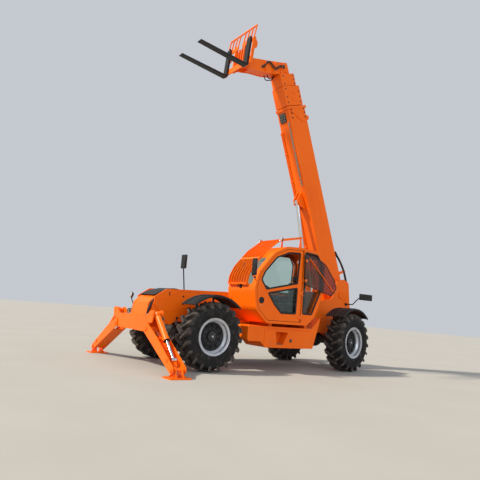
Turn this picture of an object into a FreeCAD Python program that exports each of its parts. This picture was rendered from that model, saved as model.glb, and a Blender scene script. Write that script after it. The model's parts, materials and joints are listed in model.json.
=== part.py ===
import FreeCAD, Part
import math
import os
import Sketcher

# Telehandler: a four-wheel steered telescopic handler with front stabilisers.
# Millimetres. X points forward, Y to the left, Z up. The origin is on the floor,
# on the centre line, midway between the two axles.

doc = FreeCAD.newDocument("Telehandler")
sheet = doc.addObject("Spreadsheet::Sheet", "Sizes")
Vector = FreeCAD.Vector
parts = []


class Size:
    """A length or an angle: its value now, and the sheet formula that gives it."""

    def __init__(self, value, formula):
        self.value = value
        self.formula = formula

    def __add__(self, other):
        other = as_size(other)
        return Size(self.value + other.value, f"({self.formula} + {other.formula})")

    def __radd__(self, other):
        return as_size(other) + self

    def __sub__(self, other):
        other = as_size(other)
        return Size(self.value - other.value, f"({self.formula} - {other.formula})")

    def __rsub__(self, other):
        return as_size(other) - self

    def __mul__(self, other):
        other = as_size(other)
        return Size(self.value * other.value, f"({self.formula} * {other.formula})")

    def __rmul__(self, other):
        return as_size(other) * self

    def __truediv__(self, other):
        other = as_size(other)
        return Size(self.value / other.value, f"({self.formula} / {other.formula})")

    def __neg__(self):
        return Size(-self.value, f"(0 - {self.formula})")


def as_size(value):
    if isinstance(value, Size):
        return value
    return Size(float(value), f"({float(value)!r})")


def cosine(angle):
    return Size(math.cos(math.radians(angle.value)), f"cos({angle.formula} * 1 deg)")


def sine(angle):
    return Size(math.sin(math.radians(angle.value)), f"sin({angle.formula} * 1 deg)")


class Sizes:
    """Every size by its name in the sheet."""

    row = 0


s = Sizes()


def keep(name, value):
    """Write one size into the sheet and give it back with its formula."""
    Sizes.row += 1
    sheet.set(f"A{Sizes.row}", name)
    sheet.set(f"B{Sizes.row}", repr(float(value)))
    sheet.setAlias(f"B{Sizes.row}", name)
    size = Size(float(value), f"Sizes.{name}")
    setattr(s, name, size)
    return size


def corner_table(name, rows):
    """Write an outline's corners into the sheet. Columns of a row: first way, second way, radius."""
    corners = []
    for number, (first, second, radius) in enumerate(rows, 1):
        corners.append((
            keep(f"{name}_a{number}", first),
            keep(f"{name}_b{number}", second),
            keep(f"{name}_round{number}", radius) if radius else 0))
    return corners


# Driving sizes. Columns: name, value.
DRIVING_SIZES = [
    # Whole machine
    ("wheelbase", 3600),
    ("track", 2000),
    ("fit", 0.3),
    ("play", 6),
    # Wheels and axles
    ("tyre_radius", 620),
    ("tyre_width", 420),
    ("tyre_facets", 30),
    ("lug_count", 20),
    ("lug_half_width", 25),
    ("rim_seat_radius", 305),
    ("rim_flange_radius", 335),
    ("rim_wall", 10),
    ("rim_width", 360),
    ("disc_inset", 150),
    ("disc_thickness", 18),
    ("hub_cap_radius", 85),
    ("hub_cap_depth", 60),
    ("stud_circle", 140),
    ("stud_count", 10),
    ("hand_hole_circle", 205),
    ("hub_radius", 128),
    ("kingpin_inset", 200),
    ("kingpin_radius", 26),
    ("yoke_arm_height", 138),
    ("yoke_arm_thickness", 32),
    ("yoke_half_length", 70),
    ("axle_tube_radius", 90),
    ("axle_case_radius", 185),
    ("fender_radius", 730),
    ("fender_thickness", 10),
    ("fender_half_angle", 43),
    ("fender_rib", 9),
    ("rear_steer_rest", 10),
    # Chassis
    ("chassis_half", 380),
    ("plate", 20),
    ("rail_top", 900),
    ("rail_bottom", 600),
    ("floor_height", 700),
    ("deck_height", 840),
    # Boom
    ("pivot_back", 2250),
    ("pivot_height", 1680),
    ("boom_angle", 69.5),
    ("pivot_pin_radius", 45),
    ("boom_wall", 10),
    ("head_wall", 22),
    # Lift cylinder
    ("lift_foot_back", 1620),
    ("lift_foot_height", 1050),
    ("lift_lug_along", 2420),
    ("lift_lug_across", -420),
    ("lift_barrel_radius", 100),
    ("lift_rod_radius", 50),
    ("lift_eye_half", 48),
    ("lift_pin_radius", 35),
    ("lift_barrel_length", 1560),
    ("lift_rod_inside", 320),
    # Gooseneck, carriage and forks
    ("neck_pivot_along", 5800),
    ("neck_pivot_across", -1190),
    ("neck_gap_half", 121),
    ("neck_plate", 20),
    ("neck_pin_radius", 32),
    ("carriage_lean", 4.75),
    ("carriage_half", 520),
    ("frame_back", 140),
    ("frame_thickness", 26),
    ("fork_thickness", 50),
    ("fork_width", 140),
    ("fork_spread", 400),
    ("fork_length", 1240),
    ("fork_under", -290),
    ("fork_top", 395),
    ("tilt_gap_half", 84),
    ("lever_out", 62),
    ("lever_up", 263),
    ("tilt_foot_along", 5580),
    ("tilt_foot_across", -40),
    ("tilt_barrel_radius", 55),
    ("tilt_rod_radius", 28),
    ("tilt_pin_radius", 22),
    ("tilt_barrel_length", 720),
    ("tilt_rod_inside", 300),
    # Stabilisers
    ("beam_middle", 2815),
    ("beam_depth", 200),
    ("beam_half", 750),
    ("beam_bottom", 626),
    ("beam_top", 890),
    ("leg_pivot_out", 700),
    ("leg_pivot_height", 690),
    ("leg_angle", 28),
    ("leg_length", 1200),
    ("leg_plate", 16),
    ("leg_pin_radius", 30),
    ("ram_foot_out", 840),
    ("ram_foot_height", 945),
    ("ram_eye_along", 985),
    ("ram_eye_up", 40),
    ("ram_barrel_radius", 52),
    ("ram_rod_radius", 27),
    ("ram_pin_radius", 20),
    ("ram_barrel_length", 600),
    ("ram_rod_inside", 80),
    ("pad_length", 400),
    ("pad_width", 290),
    ("pad_plate", 18),
    # Cab
    ("cab_inner", 300),
    ("cab_outer", 1157),
    ("cab_wall", 40),
    ("door_thickness", 38),
    ("door_rim", 52),
    ("door_gap", 9),
    ("door_rear", -205),
    ("quarter_front", -232),
    ("door_hinge_x", -215),
    ("door_hinge_y", 1216),
    ("glass", 6),
    ("leaf_fold_line", -167.5),
    ("cab_floor", 923),
    ("engine_foot", 680),
    ("outrigger_under", 860),
    ("steering_wheel_radius", 180),
    ("guard_low", 360),
    ("guard_high", 980),
    ("guard_bar", 10),
    ("guard_bars", 8),
    # Nose
    ("nose_deck", 1350),
    ("nose_ledge", 1264),
    ("nose_sheet", 14),
    ("visor_half", 300),
    ("headlamp_radius", 45),
    ("roof_lamp_radius", 45),
    # Tow hitch
    ("hitch_plate", 25),
    ("hitch_bore", 16),
]
for size_name, size_value in DRIVING_SIZES:
    keep(size_name, size_value)


def values(point):
    return [as_size(item).value for item in point]


def tangent_points(before, corner, after, radius):
    """Where a rounded corner's arc meets its two lines, its centre, and the way it turns."""
    to_before = (before - corner).normalize()
    to_after = (after - corner).normalize()
    half = to_before.getAngle(to_after) / 2.0
    reach = radius / math.tan(half)
    middle = (to_before + to_after).normalize()
    centre = corner + middle * (radius / math.sin(half))
    turn = (-to_before).cross(to_after).z
    return corner + to_before * reach, corner + to_after * reach, centre, turn


def draw_outline(sketch, corners):
    """Closed outline of lines, with an arc at each corner that has a radius, every corner bound."""
    points = [Vector(*values(corner[:2]), 0) for corner in corners]
    radii = [as_size(corner[2]) if len(corner) > 2 else as_size(0) for corner in corners]
    count = len(corners)
    joins = []
    for index in range(count):
        before = points[index - 1]
        after = points[(index + 1) % count]
        if radii[index].value > 0:
            joins.append(tangent_points(before, points[index], after, radii[index].value))
        else:
            joins.append((points[index], points[index], None, 0))
    first = sketch.GeometryCount
    for index in range(count):
        start = joins[index][1]
        end = joins[(index + 1) % count][0]
        sketch.addGeometry(Part.LineSegment(start, end), False)
    bound = []
    shape = []
    for index in range(count):
        line_in = first + (index - 1) % count
        line_out = first + index
        if radii[index].value <= 0:
            shape.append(Sketcher.Constraint("Coincident", line_in, 2, line_out, 1))
            holder, end = line_out, 1
        else:
            start, stop, centre, turn = joins[index]
            if turn < 0:
                start, stop = stop, start
            angle_from = math.atan2(start.y - centre.y, start.x - centre.x)
            angle_to = math.atan2(stop.y - centre.y, stop.x - centre.x)
            circle = Part.Circle(centre, Vector(0, 0, 1), radii[index].value)
            arc = sketch.addGeometry(Part.ArcOfCircle(circle, angle_from, angle_to), False)
            holder = sketch.addGeometry(Part.Point(points[index]), True)
            end = 1
            into, out = (1, 2) if turn > 0 else (2, 1)
            shape.append(Sketcher.Constraint("PointOnObject", holder, 1, line_in))
            shape.append(Sketcher.Constraint("PointOnObject", holder, 1, line_out))
            shape.append(Sketcher.Constraint("Tangent", line_in, 2, arc, into))
            shape.append(Sketcher.Constraint("Tangent", arc, out, line_out, 1))
            bound.append((("Radius", arc), radii[index]))
        bound.append((("DistanceX", -1, 1, holder, end), as_size(corners[index][0])))
        bound.append((("DistanceY", -1, 1, holder, end), as_size(corners[index][1])))
    bind(sketch, shape, bound)


def draw_circle(sketch, circle):
    """One circle. Columns: centre first way, centre second way, radius."""
    across, up, radius = [as_size(item) for item in circle]
    ring = sketch.addGeometry(
        Part.Circle(Vector(across.value, up.value, 0), Vector(0, 0, 1), radius.value), False)
    bind(sketch, [], [
        (("Radius", ring), radius),
        (("DistanceX", -1, 1, ring, 3), across),
        (("DistanceY", -1, 1, ring, 3), up)])


def bind(sketch, shape, bound):
    """Add the constraints on shape, then the dimensions, and tie each dimension to its formula."""
    first = sketch.ConstraintCount + len(shape)
    dimensions = [Sketcher.Constraint(*words, size.value) for words, size in bound]
    sketch.addConstraint(shape + dimensions)
    for number, (words, size) in enumerate(bound, first):
        sketch.setExpression(f"Constraints[{number}]", size.formula)


def origin_plane(body, role):
    for feature in body.Origin.OriginFeatures:
        if feature.Role == role:
            return feature
    return None


def profile(body, plane, level, outlines, circles=()):
    """A sketch on one of the body's own planes, moved along that plane's normal."""
    number = len(body.Group)
    sketch = body.newObject("Sketcher::SketchObject", f"{body.Name}_profile_{number}")
    sketch.AttachmentSupport = [(origin_plane(body, f"{plane}_Plane"), "")]
    sketch.MapMode = "FlatFace"
    if plane == "XZ":
        level = -as_size(level)
    sketch.setExpression("AttachmentOffset.Base.z", as_size(level).formula)
    for outline in outlines:
        draw_outline(sketch, outline)
    for circle in circles:
        draw_circle(sketch, circle)
    return sketch


def extrude(body, kind, plane, low, high, outlines, circles=()):
    """Pad or Pocket a profile between two levels of its plane's normal."""
    low, high = as_size(low), as_size(high)
    starts_high = (plane == "XZ") == (kind == "Pad")
    level = high if starts_high else low
    sketch = profile(body, plane, level, outlines, circles)
    feature = body.newObject(f"PartDesign::{kind}", f"{body.Name}_{kind.lower()}_{len(body.Group)}")
    feature.Profile = sketch
    feature.Type = "Length"
    feature.setExpression("Length", (high - low).formula)
    body.Tip = feature
    return feature


def pad(body, plane, low, high, outlines, circles=()):
    return extrude(body, "Pad", plane, low, high, outlines, circles)


def pocket(body, plane, low, high, outlines, circles=()):
    return extrude(body, "Pocket", plane, low, high, outlines, circles)


def new_body(label):
    body = doc.addObject("PartDesign::Body", label)
    body.Label = label
    parts.append(body)
    return body


def revolve(body, outline, axis="H_Axis"):
    """Turn a profile of the YZ plane round Y."""
    sketch = profile(body, "YZ", 0, [outline])
    feature = body.newObject("PartDesign::Revolution", f"{body.Name}_turned_{len(body.Group)}")
    feature.Profile = sketch
    feature.ReferenceAxis = (sketch, [axis])
    feature.Angle = 360
    body.Tip = feature
    return feature


def place(item, x=0, y=0, z=0, axis=None, angle=0):
    """Bind a sub-part's place, with a turn about one axis."""
    if axis is not None:
        item.Placement = FreeCAD.Placement(Vector(0, 0, 0), FreeCAD.Rotation(axis, 30))
        item.setExpression("Placement.Rotation.Angle", as_size(angle).formula)
    for letter, size in zip("xyz", (x, y, z)):
        item.setExpression(f"Placement.Base.{letter}", as_size(size).formula)


def box(name, x_range, y_range, z_range):
    """A block between pairs of sizes."""
    item = doc.addObject("Part::Box", name)
    for length, letter, (low, high) in zip(
            ("Length", "Width", "Height"), "xyz", (x_range, y_range, z_range)):
        item.setExpression(length, (as_size(high) - as_size(low)).formula)
        item.setExpression(f"Placement.Base.{letter}", as_size(low).formula)
    return item


TURNS = {
    "x": FreeCAD.Rotation(Vector(0, 1, 0), 90),
    "y": FreeCAD.Rotation(Vector(1, 0, 0), -90),
    "z": FreeCAD.Rotation(),
}


def rod(name, way, centre, radius, low, high):
    """A cylinder along one way; centre gives its two other places in x, y, z order."""
    item = doc.addObject("Part::Cylinder", name)
    item.Placement = FreeCAD.Placement(Vector(0, 0, 0), TURNS[way])
    item.setExpression("Radius", as_size(radius).formula)
    item.setExpression("Height", (as_size(high) - as_size(low)).formula)
    centre = list(centre)
    for letter in "xyz":
        size = low if letter == way else centre.pop(0)
        item.setExpression(f"Placement.Base.{letter}", as_size(size).formula)
    return item


def ball(name, x, y, z, radius):
    item = doc.addObject("Part::Sphere", name)
    item.setExpression("Radius", as_size(radius).formula)
    place(item, x, y, z)
    return item


def fuse(label, pieces, sub_part=True):
    item = doc.addObject("Part::MultiFuse", label)
    item.Shapes = pieces
    item.Refine = True
    item.Label = label
    if sub_part:
        parts.append(item)
    return item


def cut(label, base, tool, sub_part=True):
    item = doc.addObject("Part::Cut", label)
    item.Base = base
    item.Tool = tool
    item.Refine = True
    item.Label = label
    if sub_part:
        parts.append(item)
    return item


def bent_bar_shape(points, radius, bend):
    """A round bar along straight runs joined by arcs of one bend radius."""
    places = [Vector(*values(point)) for point in points]
    pieces = []
    start = places[0]
    for before, corner, after in zip(places, places[1:], places[2:]):
        way_in = (corner - before).normalize()
        way_out = (after - corner).normalize()
        turn = way_in.getAngle(way_out)
        reach = bend * math.tan(turn / 2)
        arc_in = corner - way_in * reach
        centre = arc_in + (way_out - way_in * way_in.dot(way_out)).normalize() * bend
        pieces.append(Part.makeCylinder(radius, (arc_in - start).Length, start, way_in))
        section = Part.Face(Part.Wire([Part.makeCircle(radius, arc_in, way_in)]))
        pieces.append(section.revolve(centre, way_in.cross(way_out), math.degrees(turn)))
        start = corner + way_out * reach
    pieces.append(Part.makeCylinder(radius, (places[-1] - start).Length, start, places[-1] - start))
    return pieces[0].multiFuse(pieces[1:])


def span(side, inner, outer):
    """A range on the left for side 1, mirrored to the right for side -1."""
    if side > 0:
        return as_size(inner), as_size(outer)
    return -as_size(outer), -as_size(inner)


def rectangle(a_range, b_range, radius=0):
    (a_low, a_high), (b_low, b_high) = a_range, b_range
    corners = [(a_low, b_low), (a_high, b_low), (a_high, b_high), (a_low, b_high)]
    return [corner + (radius,) for corner in corners] if radius else corners


SIDES = (("left", 1), ("right", -1))
ACROSS = Vector(0, -1, 0)


# Chassis side plates, one long plate a side from the nose to the boom towers.
# Columns: x, z, corner radius.
chassis_outline = corner_table("chassis", [
    (2310, 740, 30), (2670, 1120, 40), (2670, 1260, 40), (2440, 1410, 60),
    (1032, 1470, 40), (1032, 900, 60), (-900, 900, 120), (-1080, 1420, 160),
    (-1950, 1560, 160), (-2080, 1980, 60), (-2310, 2060, 110), (-2500, 1990, 90),
    (-2550, 1530, 200), (-2600, 1250, 60), (-2600, 620, 40), (-2180, 620, 60),
    (-2070, 770, 60), (-1520, 770, 60), (-1400, 600, 60), (1240, 600, 80),
    (1430, 885, 80), (2130, 885, 60)])
second_pin_bore = (-2400, 1545, 30)


def chassis_side(name, side):
    body = new_body(f"chassis_side_{name}")
    low, high = span(side, s.chassis_half - s.plate, s.chassis_half)
    bore = (-s.pivot_back, s.pivot_height, s.pivot_pin_radius + s.fit)
    pad(body, "XZ", low, high, [chassis_outline], [bore, second_pin_bore])
    low, high = span(side, s.chassis_half, s.chassis_half + 18)
    boss = (-s.pivot_back, s.pivot_height, s.pivot_pin_radius + 50)
    bore = (-s.pivot_back, s.pivot_height, s.pivot_pin_radius + s.fit)
    pad(body, "XZ", low, high, [], [boss, bore])
    # Outriggers: under the cab on the left, under the engine on the right.
    columns = (-520, 420) if side > 0 else (-600, 600)
    reach = 1040 if side > 0 else 1120
    level = (s.outrigger_under, s.cab_floor - s.fit) if side > 0 else (s.rail_bottom + 10, s.engine_foot)
    for along in columns:
        pad(body, "YZ", along - 35, along + 35, [rectangle(span(side, s.chassis_half - 4, reach), level)])


for side_name, side_sign in SIDES:
    chassis_side(side_name, side_sign)

plate_inside = s.chassis_half - s.plate


def chassis_floor():
    """Cross plates between the side plates, with the axle brackets and the lift cylinder's lugs."""
    inside = (-plate_inside, plate_inside)
    half = s.wheelbase / 2
    pieces = [
        box("floor_main", (-1420, 1260), inside, (s.floor_height, s.floor_height + s.plate)),
        box("floor_front_riser", (1240, 1260), inside, (s.floor_height, 915)),
        box("floor_front", (1240, 2150), inside, (895, 915)),
        box("floor_rear_riser", (-1420, -1400), inside, (s.floor_height, s.deck_height + s.plate)),
        box("floor_rear", (-2590, -1400), inside, (s.deck_height, s.deck_height + s.plate)),
        box("floor_back_wall", (-2590, -2570), inside, (640, 1240)),
        box("floor_middle_web", (-20, 0), inside, (s.floor_height, s.rail_top)),
        box("front_axle_bracket", (half - 90, half + 90), (-120, 120),
            (s.tyre_radius + s.axle_case_radius + s.fit, 896)),
        box("rear_axle_bracket", (-half - 90, -half + 90), (-120, 120),
            (s.tyre_radius + s.axle_case_radius + s.fit, s.deck_height + 1)),
    ]
    lug_inner = s.lift_eye_half + s.fit + 4
    for name, side in SIDES:
        low, high = span(side, lug_inner, lug_inner + 25)
        lug = doc.addObject("PartDesign::Body", f"lift_foot_lug_{name}")
        pad(lug, "XZ", low, high, [[
            (-s.lift_foot_back - 120, s.deck_height + 5), (-s.lift_foot_back + 120, s.deck_height + 5),
            (-s.lift_foot_back + 70, s.lift_foot_height + 70, 60),
            (-s.lift_foot_back - 70, s.lift_foot_height + 70, 60)]],
            [(-s.lift_foot_back, s.lift_foot_height, s.lift_pin_radius + s.fit)])
        pieces.append(lug)
    fuse("chassis_floor", pieces)


chassis_floor()


def axle(name, place_x):
    """Axle case with its bulge, and an upper and a lower yoke arm at each kingpin."""
    kingpin = s.track / 2 - s.kingpin_inset
    neck_end = kingpin - 138
    pieces = [
        rod(f"{name}_axle_tube", "y", (place_x, s.tyre_radius), s.axle_tube_radius, -neck_end, neck_end),
        ball(f"{name}_axle_case", place_x, 0, s.tyre_radius, s.axle_case_radius),
        rod(f"{name}_axle_drop", "x", (0, s.tyre_radius), 105, place_x - 210, place_x + 210)]
    for side_name, side in SIDES:
        low, high = span(side, neck_end - 30, neck_end)
        reach = s.yoke_arm_height + s.yoke_arm_thickness
        long = (place_x - s.yoke_half_length, place_x + s.yoke_half_length)
        pieces.append(box(f"{name}_{side_name}_yoke_web", long, (low, high),
                          (s.tyre_radius - reach, s.tyre_radius + reach)))
        low, high = span(side, neck_end - 30, kingpin + 55)
        for arm, up in (("upper", 1), ("lower", -1)):
            start, stop = span(up, s.yoke_arm_height, reach)
            slab = box(f"{name}_{side_name}_{arm}_arm_slab", long, (low, high),
                       (s.tyre_radius + start, s.tyre_radius + stop))
            bore = rod(f"{name}_{side_name}_{arm}_arm_bore", "z", (place_x, kingpin * side),
                       s.kingpin_radius + s.fit, s.tyre_radius + start - 5, s.tyre_radius + stop + 5)
            pieces.append(cut(f"{name}_{side_name}_{arm}_arm", slab, bore, sub_part=False))
    fuse(f"{name}_axle", pieces)


AXLES = (("front", s.wheelbase / 2), ("rear", -s.wheelbase / 2))
for axle_name, axle_x in AXLES:
    axle(axle_name, axle_x)


def propshafts():
    """Transfer box under the floor with a shaft to each axle."""
    drop = s.wheelbase / 2 - 212
    fuse("driveline", [
        box("transfer_box", (-230, 120), (-150, 150), (s.floor_height - 240, s.floor_height - s.fit)),
        rod("shaft_front", "x", (0, s.tyre_radius - 40), 38, 100, drop),
        rod("shaft_rear", "x", (0, s.tyre_radius - 40), 38, -drop, -200)])


propshafts()


def knuckle(axle_name, axle_x, side_name, side):
    """Swivel housing with its kingpins, hub and the two struts that hold the fender."""
    kingpin = s.track / 2 - s.kingpin_inset
    disc_face = s.track / 2 + s.tyre_width / 2 - s.disc_inset - s.disc_thickness
    label = f"knuckle_{axle_name}_{side_name}"
    arm = s.yoke_arm_height
    reach = arm + s.yoke_arm_thickness
    pieces = [rod(f"{label}_swivel", "z", (0, 0), 78, -arm + s.fit * 10, arm - s.fit * 10)]
    pieces.append(rod(f"{label}_pin", "z", (0, 0), s.kingpin_radius, -reach, reach))
    low, high = span(side, 0, disc_face - kingpin - s.fit)
    pieces.append(rod(f"{label}_hub", "y", (0, 0), s.hub_radius - 6, low, high))
    low, high = span(side, -54, 0)
    pieces.append(box(f"{label}_steer_arm", (-200, 200), (low, high), (-36, 36)))
    for way, along in (("fore", 1), ("aft", -1)):
        start, stop = span(along, 160, 200)
        pieces.append(box(f"{label}_{way}_strut", (start, stop), span(side, -62, -44), (-36, s.fender_radius - 30)))
    housing = fuse(label, pieces)
    place_parts([housing], axle_x, kingpin * side, s.tyre_radius, axle_name)


def fender(axle_name, axle_x, side_name, side):
    """Moulded mudguard: an arc over the tyre with turned-down edges."""
    kingpin = s.track / 2 - s.kingpin_inset
    body = new_body(f"fender_{axle_name}_{side_name}")
    inner, outer = s.fender_radius, s.fender_radius + s.fender_thickness
    turn = sine(s.fender_half_angle)
    drop = cosine(s.fender_half_angle)
    low, high = span(side, -44 + s.fit, s.tyre_width + 4)
    arc_band(body, low, high, inner, outer, turn, drop)
    for edge in (-44 + s.fit, s.tyre_width - 6):
        low, high = span(side, edge, edge + 10)
        arc_band(body, low, high, inner - 26, outer - 2, turn, drop)
    for middle in (30, 120, 260, 350):
        low, high = span(side, middle - 18, middle + 18)
        arc_band(body, low, high, outer - 2, outer + s.fender_rib, turn, drop)
    place_parts([body], axle_x, kingpin * side, s.tyre_radius, axle_name)


def arc_band(body, low, high, inner, outer, turn, drop):
    """Pad of a band round the wheel's centre, as wide as the half angle on each side of the top."""
    sketch = body.newObject("Sketcher::SketchObject", f"{body.Name}_profile_{len(body.Group)}")
    sketch.AttachmentSupport = [(origin_plane(body, "XZ_Plane"), "")]
    sketch.MapMode = "FlatFace"
    sketch.setExpression("AttachmentOffset.Base.z", (-as_size(high)).formula)
    half = math.asin(turn.value)
    start, stop = math.pi / 2 - half, math.pi / 2 + half
    bound = []
    for radius in (inner, outer):
        circle = Part.Circle(Vector(0, 0, 0), Vector(0, 0, 1), radius.value)
        sketch.addGeometry(Part.ArcOfCircle(circle, start, stop), False)
    for along in (1, -1):
        near = Vector(along * turn.value * inner.value, drop.value * inner.value, 0)
        far = Vector(along * turn.value * outer.value, drop.value * outer.value, 0)
        sketch.addGeometry(Part.LineSegment(near, far), False)
    shape = []
    for number, radius in enumerate((inner, outer)):
        shape.append(Sketcher.Constraint("Coincident", number, 3, -1, 1))
        bound.append((("Radius", number), radius))
    for line, end in ((2, 1), (3, 2)):
        shape.append(Sketcher.Constraint("Coincident", line, 1, 0, end))
        shape.append(Sketcher.Constraint("Coincident", line, 2, 1, end))
    bound.append((("DistanceX", -1, 1, 0, 1), turn * inner))
    bound.append((("DistanceX", -1, 1, 0, 2), -(turn * inner)))
    bound.append((("DistanceX", -1, 1, 1, 1), turn * outer))
    bound.append((("DistanceX", -1, 1, 1, 2), -(turn * outer)))
    bind(sketch, shape, bound)
    feature = body.newObject("PartDesign::Pad", f"{body.Name}_band_{len(body.Group)}")
    feature.Profile = sketch
    feature.setExpression("Length", (as_size(high) - as_size(low)).formula)
    body.Tip = feature


def place_parts(items, x, y, z, axle_name):
    """Put steered parts at a kingpin, turned by the rear wheels' rest angle on the rear axle."""
    for item in items:
        if axle_name == "rear":
            place(item, x, y, z, Vector(0, 0, 1), s.rear_steer_rest)
        else:
            place(item, x, y, z)


# Tyre carcass. Columns: in from the sidewall, in from the lug tips.
CARCASS = [(45, 300), (0, 165), (6, 100), (34, 58), (90, 44)]
# One lug, from the middle of the tread to the sidewall. Columns: out from the middle,
# round the tread from the lug's own place, foot and top in from the lug tips.
LUG = [(-10, 62, 60, 0), (110, -12, 60, 0), (204, -72, 112, 26)]


def carcass():
    """Faceted tyre body: rulings between regular rings, bored to seat on the rim."""
    half = s.tyre_width / 2
    rings = []
    stations = [(-half + inset, s.tyre_radius - depth) for inset, depth in CARCASS]
    stations += [(half - inset, s.tyre_radius - depth) for inset, depth in reversed(CARCASS)]
    for number, (level, radius) in enumerate(stations):
        ring = doc.addObject("Part::RegularPolygon", f"tyre_ring_{number}")
        ring.setExpression("Polygon", s.tyre_facets.formula)
        ring.setExpression("Circumradius", radius.formula)
        ring.Placement = FreeCAD.Placement(Vector(0, 0, 0), TURNS["y"])
        ring.setExpression("Placement.Base.y", level.formula)
        rings.append(ring)
    body = doc.addObject("Part::Loft", "tyre_body")
    body.Sections = rings
    body.Solid = True
    body.Ruled = True
    bore = rod("tyre_bore", "y", (0, 0), s.rim_seat_radius + s.fit, -half, half)
    return cut("tyre_carcass", body, bore, sub_part=False)


def lug_shape(row):
    """One lug at the top of the wheel, ruled between rectangles across the tread. row: 1 or -1."""
    tip = s.tyre_radius.value
    half = s.lug_half_width.value
    wires = []
    for out, along, foot, top in LUG:
        reach = abs(along) + half
        height = math.sqrt(tip ** 2 - reach ** 2) - top
        corners = [(along - half, tip - foot), (along + half, tip - foot),
                   (along + half, height), (along - half, height)]
        wires.append(Part.makePolygon([Vector(x, out * row, z) for x, z in corners + corners[:1]]))
    return Part.makeLoft(wires, True, True)


def lugs():
    """Both rows of lugs round the tread, the second row half a pitch on."""
    pitch = 360 / s.lug_count.value
    shapes = []
    for row, start in ((1, 0), (-1, pitch / 2)):
        model = lug_shape(row)
        for number in range(round(s.lug_count.value)):
            shape = model.copy()
            shape.rotate(Vector(0, 0, 0), Vector(0, 1, 0), start + number * pitch)
            shapes.append(shape)
    item = doc.addObject("Part::Feature", "tyre_lugs")
    item.Shape = Part.makeCompound(shapes)
    return item


tyre_left = fuse("tyre_left", [carcass(), lugs()], sub_part=False)
tyre_right = doc.addObject("Part::Mirroring", "tyre_right")
tyre_right.Source = tyre_left
tyre_right.Normal = Vector(0, 1, 0)


def tyre(label, side):
    """The lugged tyre of one side, so that its chevrons point the same way round."""
    item = doc.addObject("Part::Compound", label)
    item.Links = [tyre_left if side > 0 else tyre_right]
    item.Label = label
    parts.append(item)
    return item


def rim(label, side):
    """Deep-dish rim: flanges, bead seats, drop centre and the inset disc with its hub cap."""
    body = new_body(label)
    half = s.rim_width / 2
    flange = s.rim_flange_radius
    seat = s.rim_seat_radius
    wall = s.rim_wall
    well = seat - 40
    revolve(body, [
        (-half, seat - wall), (-half - wall, flange), (-half, flange), (-half + wall, seat),
        (-half + 70, seat), (-half + 100, well), (half - 130, well), (half - 100, seat),
        (half - wall, seat), (half, flange), (half + wall, flange), (half, seat - wall),
        (half - 92, seat - wall), (half - 122, well - wall), (-half + 92, well - wall),
        (-half + 62, seat - wall)])
    face = s.tyre_width / 2 - s.disc_inset
    low, high = span(side, face - s.disc_thickness, face)
    pad(body, "XZ", low, high, [], [(0, 0, well - 5)])
    low, high = span(side, face, face + s.hub_cap_depth)
    pad(body, "XZ", low, high, [], [(0, 0, s.hub_cap_radius)])
    low, high = span(side, face - 1, face + 24)
    pad(body, "XZ", low, high, [], ring_of(s.stud_circle, 13))
    low, high = span(side, face - s.disc_thickness - 1, face + 1)
    pocket(body, "XZ", low, high, [], ring_of(s.hand_hole_circle, 16))
    return body


def ring_of(circle, radius):
    """Circles spaced evenly, one to a wheel stud."""
    count = round(s.stud_count.value)
    angles = [as_size(360 / count * number) for number in range(count)]
    return [(circle * cosine(angle), circle * sine(angle), radius) for angle in angles]


for axle_name, axle_x in AXLES:
    for side_name, side_sign in SIDES:
        knuckle(axle_name, axle_x, side_name, side_sign)
        fender(axle_name, axle_x, side_name, side_sign)
        corner = f"{axle_name}_{side_name}"
        wheel_parts = [tyre(f"tyre_{corner}", side_sign), rim(f"rim_{corner}", side_sign)]
        # A steered wheel's centre lies one kingpin inset outboard of its kingpin.
        rest = s.rear_steer_rest if axle_name == "rear" else as_size(0)
        kingpin_y = (s.track / 2 - s.kingpin_inset) * side_sign
        out = s.kingpin_inset * side_sign
        for wheel_part in wheel_parts:
            place_parts([wheel_part], axle_x - out * sine(rest), kingpin_y + out * cosine(rest),
                        s.tyre_radius, axle_name)


# Boom. Along the boom is local x, across it local z, both from the boom's pivot.
# Columns: name, tail, front, underside, top, half width, head start, head front, head underside,
# head top, head half width.
BOOM_SECTIONS = [
    ("boom_1", -250, 4700, -285, 275, 220, 4300, 4700, -310, 310, 242),
    ("boom_2", 150, 5200, -255, 205, 190, 4722, 5200, -300, 238, 222),
    ("boom_3", 400, 5500, -235, 125, 162, 5212, 5500, -285, 168, 202),
    ("boom_4", 650, 5560, -215, 55, 135, 0, 0, 0, 0, 0),
]
boom = {}
for row in BOOM_SECTIONS:
    words = ("tail", "front", "under", "top", "half", "head_start", "head_front",
             "head_under", "head_top", "head_half")
    boom[row[0]] = {word: keep(f"{row[0]}_{word}", value) for word, value in zip(words, row[1:])}


def boom_place(item):
    place(item, -s.pivot_back, 0, s.pivot_height, ACROSS, s.boom_angle)


def boom_tube(section, body):
    """Box section with rounded corners, open at both ends, and its thicker head collar."""
    half, under, top = section["half"], section["under"], section["top"]
    wall = s.boom_wall
    outer = rectangle((-half, half), (under, top), 36)
    inner = rectangle((-half + wall, half - wall), (under + wall, top - wall), 26)
    pad(body, "YZ", section["tail"], section["front"], [outer, inner])
    if section["head_half"].value > 0:
        ring = 60 if section is boom["boom_1"] else section["head_front"] - section["head_start"]
        head = rectangle((-section["head_half"], section["head_half"]),
                         (section["head_under"], section["head_top"]), 40)
        hole = rectangle((-half + 1, half - 1), (under + 1, top - 1), 34)
        pad(body, "YZ", section["head_front"] - ring, section["head_front"], [head, hole])


def head_plates(section, body):
    """Doubler on each side of the first section's mouth, its lower edge slanting back up."""
    start, front = section["head_start"], section["head_front"]
    for name, side in SIDES:
        low, high = span(side, section["half"] - 1, section["half"] + 14)
        pad(body, "XZ", low, high, [[
            (start, section["top"] - 40), (start, section["top"] - 190, 30), (front - 70, section["under"] + 20),
            (front - 20, section["under"] + 20), (front - 20, section["top"] - 40)]])


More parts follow.
